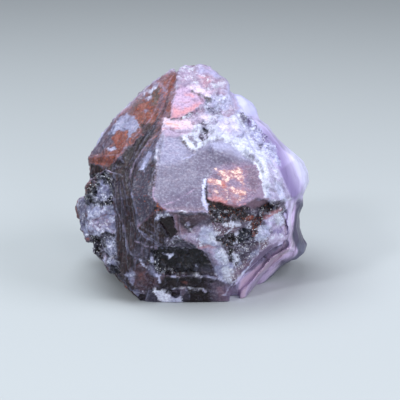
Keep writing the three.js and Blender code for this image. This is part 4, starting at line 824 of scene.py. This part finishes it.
def relief(coat):
    """How far the surface stands out from the plain faces, in millimetres."""
    points, fields = coat.points, coat.fields
    crust = 0.7 * grain(points, 1.9, 1) + 0.45 * grain(points, 0.95, 2) + 0.75 - cells(points, 1.5) * 0.7
    facets = broken_facets(points, 2.9, 0.5) + broken_facets(points + 40, 1.5, 0.45)
    lined = coat.stretched(*LEDGE_STRETCH)
    step = coat.beside / LEDGE_GAP + 0.7 * grain(lined, 2.4, 6)
    rising, falling = ease(step % 1, 0, 0.75), ease(step % 1, 0.75, 1)
    ledge = LEDGE_HEIGHT * rising * (1 - falling) * ease(grain(points, 5, 7), -0.4, 0.4)
    ledge += broken_facets(lined, 1.8, 0.25)
    swell = 0.25 * grain(points, 6.5, 8) + 0.08 * grain(points, 2.6, 5) + 0.1 * grain(lined, 1.4, 2)
    rough = GRAIN_HEIGHT * grain(points, 1.3, 12)
    # Ledges across the axis on the sides, as on any quartz prism, and ripples in the shell-shaped breaks.
    side = ease(coat.w, 24, 32) * ease(coat.normals[:, 1], 0.6, 0.3)
    across = STEP_HEIGHT * np.sin(coat.w * 2.1 + 2 * grain(points, 5, 3)) * side * (1 - 0.8 * fields["silk"])
    rootward = ease(coat.normals[:, 1], 0.45, 0.75)
    from_centre = np.hypot(coat.u - RIPPLE_CENTRE[0], coat.v - RIPPLE_CENTRE[1])
    ripples = RIPPLE_HEIGHT * np.sin(from_centre * 1.9 + grain(points, 6, 4)) * rootward
    return (
        fields["lumps"] * crust
        + fields["chips"] * facets
        + fields["streak"] * ledge * (1 - 0.7 * fields["silk"])
        + fields["silk"] * swell
        + rough * (1 - fields["silk"])
        + across
        + ripples
    )


def worn(coat):
    """How much has worn off the sharpest corners, in millimetres."""
    return sum(
        depth * ease(np.hypot(coat.u - u, coat.v - v), reach, reach * 0.2) * ease(coat.w, 46, 38)
        for u, v, reach, depth in WORN_CORNERS
    )


def bend(mesh, points, normals):
    """How sharply the surface bends at each point, above 0 on edges and below 0 in creases."""
    pairs = np.empty(len(mesh.edges) * 2, int)
    mesh.edges.foreach_get("vertices", pairs)
    first, second = pairs.reshape(-1, 2).T
    count = np.bincount(pairs, minlength=len(points))

    def gathered(at_first, at_second):
        total = np.zeros((len(points), *at_first.shape[1:]))
        np.add.at(total, first, at_first)
        np.add.at(total, second, at_second)
        return total

    beside = gathered(points[second], points[first])
    lengths = np.linalg.norm(points[first] - points[second], axis=1)
    reach = gathered(lengths, lengths)
    bent = ((points - beside / count[:, None]) * normals).sum(axis=1) / (reach / count)
    return (bent + gathered(bent[second], bent[first]) / count) / 2


def in_sight(face):
    """Whether a face of the stone can show from the front."""
    place = face.calc_center_median()
    return (EYE - place).normalized().dot(face.normal) > -0.05 and place.y < FRONT_END * MM


def rework(work):
    """Fills the groove beside the right fold and smooths the softened places."""
    u, v, w = drawn(np.array([corner.co / MM for corner in work.verts]))
    half_width, floor, deepest, groove = FILLED
    sunk = (np.abs(along_line(u, v, groove)[0]) < half_width) & (w > floor) & (w < deepest)
    for corner, chosen, depth in zip(work.verts, sunk, w):
        if chosen:
            corner.co += (EYE - corner.co).normalized() * (depth - floor) * MM
    for reach, times, line in SOFTENED:
        near = (np.abs(along_line(u, v, line)[0]) < reach) & (w < SOFTENED_DEPTH)
        bent = [corner for corner, chosen in zip(work.verts, near) if chosen]
        for _ in range(times):
            bmesh.ops.smooth_vert(work, verts=bent, factor=0.5, **ALL_AXES)


def grow_stone():
    """The stone's skin, and the coat that it carries."""
    work = bmesh.new()
    work.from_mesh(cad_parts["amethyst_point"].data)
    bmesh.ops.remove_doubles(work, verts=work.verts, dist=SAME_POINT * MM)
    plain_shape = BVHTree.FromBMesh(work)
    stone = stand("stone", mesh_of("stone", work))

    skin = stone.modifiers.new("skin", "REMESH")
    skin.mode = "VOXEL"
    skin.voxel_size = VOXEL * MM
    skin.use_smooth_shade = True
    work_in(stone)

    # The front, which has the most to show, is divided finer, and the whole skin is drawn back onto the plain
    # shape.
    mesh = stone.data
    work = bmesh.new()
    work.from_mesh(mesh)
    edges = {edge for face in work.faces if in_sight(face) for edge in face.edges}
    bmesh.ops.subdivide_edges(work, edges=list(edges), cuts=1, use_grid_fill=True)
    for corner in work.verts:
        corner.co = plain_shape.find_nearest(corner.co)[0]
    rework(work)
    for face in work.faces:
        face.smooth = True
    work.to_mesh(mesh)
    work.free()

    count = len(mesh.vertices)
    points = np.empty(count * 3)
    normals = np.empty(count * 3)
    mesh.vertices.foreach_get("co", points)
    mesh.vertices.foreach_get("normal", normals)
    points = points.reshape(-1, 3) / MM
    normals = normals.reshape(-1, 3)
    coat = coat_of(points, normals)
    out = (relief(coat) - worn(coat)) * ease(points[:, 2], *FOOT)
    coat.points = points + normals * out[:, None]
    coat.points[:, 2] = np.maximum(coat.points[:, 2], 0)
    mesh.vertices.foreach_set("co", (coat.points * MM).ravel())
    mesh.update()

    # Edges are lighter, partly as worn frost and partly as painted highlight where they catch the light;
    # creases get painted shade.
    bent = bend(mesh, coat.points, normals)
    rough = (1 - coat.fields["silk"]) * (1 - 0.5 * coat.fields["frost"])
    dry = (1 - 0.85 * coat.fields["gloss"]) * (1 - 0.8 * coat.fields["rust"])
    coat.lay(ease(bent, 0.05, 0.16) * 0.5 * rough * dry, LILAC_GREY)
    coat.lay(ease(-bent, 0.05, 0.2) * 0.45 * rough, UMBER)
    store(mesh, coat)
    return stone, coat


# ---- Small crystals ----

DRUSE_COUNT = 1500
DRUSE_SEED = 19
DRUSE_RADIUS = (0.2, 0.55)  # in millimetres
DRUSE_HEIGHT = (0.9, 1.5)  # in radii
DRUSE_LEAN = 0.6
DRUSE_CLEAR = 0.8  # the least height above the ground, in millimetres
DRUSE_LEAST = 0.15  # where the druse field is lower than this, none stand
DRUSE_OUT = 0.15  # how far the middle of a point stands out, in its heights
SIXTH_TURN = 1.05


def grow_druse(coat):
    """Small six-sided points that stand where the crust is thick."""
    pick = np.random.default_rng(DRUSE_SEED)
    chance = np.clip(coat.fields["druse"] - DRUSE_LEAST, 0, None) * (coat.points[:, 2] > DRUSE_CLEAR)
    chosen = pick.choice(len(chance), DRUSE_COUNT, replace=False, p=chance / chance.sum())
    work = bmesh.new()
    for host in chosen:
        radius = DRUSE_RADIUS[0] + (DRUSE_RADIUS[1] - DRUSE_RADIUS[0]) * pick.random() ** 2
        height = radius * pick.uniform(*DRUSE_HEIGHT)
        lean = Vector(coat.normals[host]) + Vector(pick.uniform(-DRUSE_LEAN, DRUSE_LEAN, 3))
        spin = Matrix.Rotation(pick.uniform(0, SIXTH_TURN), 4, "Z")
        turn = lean.to_track_quat("Z", "Y").to_matrix().to_4x4() @ spin
        foot = Vector(coat.points[host]) + lean.normalized() * height * DRUSE_OUT
        bmesh.ops.create_cone(
            work,
            cap_ends=True,
            segments=6,
            radius1=radius * MM,
            radius2=0,
            depth=height * MM,
            matrix=Matrix.Translation(foot * MM) @ turn,
        )
    druse = stand("druse_crystals", mesh_of("druse_crystals", work))
    nearest = KDTree(len(coat.points))
    for index, point in enumerate(coat.points.tolist()):
        nearest.insert(point, index)
    nearest.balance()
    store(druse.data, coat, np.array([nearest.find(corner.co / MM)[1] for corner in druse.data.vertices]))
    return druse


# ---- Materials ----


class Signal:
    """A socket that can be worked with in Python expressions."""

    def __init__(self, recipe, socket):
        self.recipe, self.socket = recipe, socket

    def _with(self, operation, first, second):
        return self.recipe.add("ShaderNodeMath", {"operation": operation}, {0: first, 1: second})

    def __add__(self, other):
        return self._with("ADD", self, other)

    __radd__ = __add__

    def __sub__(self, other):
        return self._with("SUBTRACT", self, other)

    def __rsub__(self, other):
        return self._with("SUBTRACT", other, self)

    def __mul__(self, other):
        return self._with("MULTIPLY", self, other)

    __rmul__ = __mul__


class Recipe:
    """A material, made node by node."""

    def __init__(self, name):
        self.material = bpy.data.materials.new(name)
        self.material.use_nodes = True
        self.tree = self.material.node_tree
        self.shader = self.tree.nodes["Principled BSDF"]

    def put(self, socket, value):
        if isinstance(value, Signal):
            self.tree.links.new(value.socket, socket)
        else:
            socket.default_value = value

    def add(self, kind, settings=None, inputs=None, output=0):
        node = self.tree.nodes.new(kind)
        for name, value in (settings or {}).items():
            setattr(node, name, value)
        for key, value in (inputs or {}).items():
            self.put(node.inputs[key], value)
        return Signal(self, node.outputs[output])

    def attribute(self, name, output="Fac"):
        return self.add("ShaderNodeAttribute", {"attribute_name": name}, output=output)

    def noise(self, where, scale, detail=3.0, rough=0.55, output=0):
        inputs = {"Vector": where, "Scale": scale, "Detail": detail, "Roughness": rough}
        return self.add("ShaderNodeTexNoise", {}, inputs, output)

    def vector(self, operation, first, second, third=None, output=0):
        inputs = {0: first, 1: second} if third is None else {0: first, 1: second, 2: third}
        return self.add("ShaderNodeVectorMath", {"operation": operation}, inputs, output)

    def crystals(self, where, scale):
        """Blocks about 1 / scale across: each one's lot from 0 to 1, how far its middle is, and its tilt."""
        block = self.add("ShaderNodeTexVoronoi", {}, {"Vector": where, "Scale": scale})
        outputs = block.socket.node.outputs
        colour = Signal(self, outputs["Color"])
        lot = self.add("ShaderNodeSeparateColor", {}, {0: colour})
        off = self.vector("SUBTRACT", where, Signal(self, outputs["Position"]))
        slope = self.vector("SUBTRACT", colour, (0.5, 0.5, 0.5))
        tilt = self.vector("DOT_PRODUCT", off, slope, output="Value")
        return lot, block, tilt * scale

    def ease(self, value, low, high):
        inputs = {"Value": value, "From Min": low, "From Max": high}
        return self.add("ShaderNodeMapRange", {"interpolation_type": "SMOOTHSTEP"}, inputs)

    def blend(self, amount, first, second, how="MIX"):
        settings = {"data_type": "RGBA", "blend_type": how, "clamp_factor": True}
        return self.add("ShaderNodeMix", settings, {0: amount, 6: first, 7: second}, 2)

    def finish(self, **inputs):
        for name, value in inputs.items():
            self.put(self.shader.inputs[name.replace("_", " ").title().replace("Ior", "IOR")], value)
        return self.material


def quartz():
    """One recipe for the whole stone. Sizes of noise are given as lumps to a metre."""
    mix = Recipe("quartz")
    place = mix.add("ShaderNodeTexCoord", output="Object")
    tint = mix.attribute("tint", "Color")
    frost, rust, gloss, flake, chips, streak, silk, druse = (mix.attribute(name) for name in SHOWN)
    bare = 1 - silk

    grit = mix.noise(place, 1500, 5, 0.7)
    cloud = mix.noise(place, 380, 4)
    blush = mix.noise(place, 760, 3)
    lines = mix.noise(mix.attribute("lines", "Vector"), 1.15, 4, 0.6)
    fine_lines = mix.noise(mix.attribute("lines", "Vector"), 4.5, 3, 0.6)
    bent_place = mix.vector("MULTIPLY_ADD", mix.noise(place, 900, output="Color"), (0.7 * MM,) * 3, place)
    lot, _, tilt = mix.crystals(bent_place, 560)
    fine_lot, _, fine_tilt = mix.crystals(bent_place, 1350)
    spark_lot, spark, _ = mix.crystals(place, 2500)

    # Grain, clouds and a blush of iron.
    plain = bare * (1 - frost * 0.6)
    colour = mix.blend(mix.ease(grit, 0.54, 0.36) * plain * 0.65, tint, GRAIN_SHADOW, "MULTIPLY")
    pale_grit = mix.ease(grit, 0.50, 0.70) * (frost * 0.6 + (bare - gloss) * 0.16)
    colour = mix.blend(pale_grit, colour, GRAIN_LIGHT)
    colour = mix.blend(mix.ease(cloud, 0.56, 0.38) * plain * 0.4, colour, CLOUD_SHADOW, "MULTIPLY")
    colour = mix.blend(mix.ease(blush, 0.48, 0.66) * (rust + 0.2) * 0.5 * bare, colour, IRON_BLUSH, "OVERLAY")
    # Growth lines.
    colour = mix.blend(streak * mix.ease(lines, 0.50, 0.36) * 0.8, colour, LINE_SHADOW, "MULTIPLY")
    colour = mix.blend(streak * mix.ease(lines, 0.56, 0.70) * bare * 0.12, colour, LINE_LIGHT)
    colour = mix.blend(streak * rust * mix.ease(fine_lines, 0.52, 0.62) * 0.6, colour, LINE_RUST)
    # Single crystals and broken facets, some dark and some frosted.
    colour = mix.blend(chips * mix.ease(lot, 0.55, 0.15) * 0.6, colour, FACET_SHADOW, "MULTIPLY")
    colour = mix.blend(chips * mix.ease(fine_lot, 0.45, 0.1) * 0.5, colour, CHIP_SHADOW, "MULTIPLY")
    colour = mix.blend(chips * mix.ease(fine_lot, 0.80, 0.86) * frost * 0.9, colour, FROST_LIGHT)
    # Wisps of frost, flecks of rust and bright flakes of copper colour.
    wisps = mix.ease(mix.noise(bent_place, 1000, 6, 0.75) + frost * 0.26 + cloud * 0.6, 0.94, 1.10)
    colour = mix.blend(wisps * mix.ease(frost, 0.12, 0.4) * 0.85, colour, FROST_LIGHT)
    flecks = mix.ease(mix.noise(place, 1300, 4, 0.7) + rust * 0.14, 0.66, 0.73) * mix.ease(rust, 0.15, 0.5)
    colour = mix.blend(flecks * 0.75, colour, RUST_FLECK)
    splash = mix.noise(place, 700, 8, 0.8)
    flakes = mix.ease(splash + flake * 0.10, 0.61, 0.64) * mix.ease(flake, 0.2, 0.6)
    colour = mix.blend(mix.ease(splash, 0.56, 0.44) * flake * 0.5, colour, COPPER_DULL)
    colour = mix.blend(flakes * 0.95, colour, COPPER_BRIGHT)
    # Painted glints: bright white specks that stand in for light glancing off tiny facets.
    painted_glints = mix.ease(spark_lot, 0.78, 0.82) * mix.ease(spark, 0.44, 0.32)
    painted_glints = painted_glints * mix.ease(chips * 0.6 + druse, 0.35, 0.8) * mix.ease(cloud, 0.38, 0.50)
    colour = mix.blend(painted_glints, colour, PAINTED_GLINT)

    height = chips * (tilt * 2.2 + fine_tilt * 1.1) + grit * (0.3 + frost * 0.4) * bare + streak * lines * 0.8
    bumps = mix.add("ShaderNodeBump", {}, {"Height": height, "Strength": 0.9, "Distance": 0.45 * MM})
    roughness = 0.48 + frost * 0.10 - gloss * 0.36 - flakes * 0.15
    return mix.finish(
        base_color=colour,
        roughness=roughness,
        normal=bumps,
        metallic=flakes * 0.3,
        ior=1.55,
        specular_ior_level=0.2,
        coat_weight=gloss * 0.1,
        coat_roughness=0.08,
    )


def pale_floor():
    mix = Recipe("pale_floor")
    return mix.finish(base_color=FLOOR_GREY, roughness=0.85)


# ---- The scene ----

LENS = 138.6  # in millimetres
CLIP = (0.01, 20)  # how near and how far the camera sees, in metres
FLOOR_REACH = 3
LIT_SPOT = Vector((0, 0, 0.03))
LIGHTS = [  # the name, the place and the width in metres, the power in watts, and the colour
    ("overhead", (-0.14, 0.04, 0.55), 0.45, 2.6, (0.89, 0.95, 1)),
    ("window", (-0.34, -0.38, 0.42), 0.09, 1.1, (0.92, 0.96, 1)),
    ("right", (0.40, -0.16, 0.36), 0.3, 1.35, (0.92, 0.93, 1)),
    ("front", (0.15, -0.60, 0.16), 0.1, 0.95, (0.91, 0.93, 1)),
]
SKY_STRENGTH = 0.33


def lay_floor():
    work = bmesh.new()
    bmesh.ops.create_grid(work, x_segments=1, y_segments=1, size=FLOOR_REACH)
    floor = stand("floor", mesh_of("floor", work))
    floor.data.materials.append(pale_floor())


def add_light(name, place, size, power, colour):
    lamp = bpy.data.lights.new(name, "AREA")
    lamp.size, lamp.energy, lamp.color = size, power, colour
    light = stand(name, lamp)
    light.location = place
    light.rotation_euler = (LIT_SPOT - Vector(place)).to_track_quat("-Z", "Y").to_euler()


def light_scene():
    for light in LIGHTS:
        add_light(*light)
    world = bpy.data.worlds.new("studio")
    world.use_nodes = True
    sky = world.node_tree.nodes["Background"].inputs
    sky["Color"].default_value = SKY
    sky["Strength"].default_value = SKY_STRENGTH
    bpy.context.scene.world = world
    bpy.context.scene.view_settings.view_transform = "Standard"


def place_camera():
    lens = bpy.data.cameras.new("camera")
    lens.lens = LENS
    lens.clip_start, lens.clip_end = CLIP
    camera = stand("camera", lens)
    camera.location = EYE
    camera.rotation_euler = (math.pi / 2 - TILT, 0, 0)
    bpy.context.scene.camera = camera


place_camera()
light_scene()
lay_floor()

stone, coat = grow_stone()
druse = grow_druse(coat)
skin = quartz()
for piece in (stone, druse):
    piece.data.materials.clear()
    piece.data.materials.append(skin)
    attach(piece, "root")
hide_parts("amethyst_point")
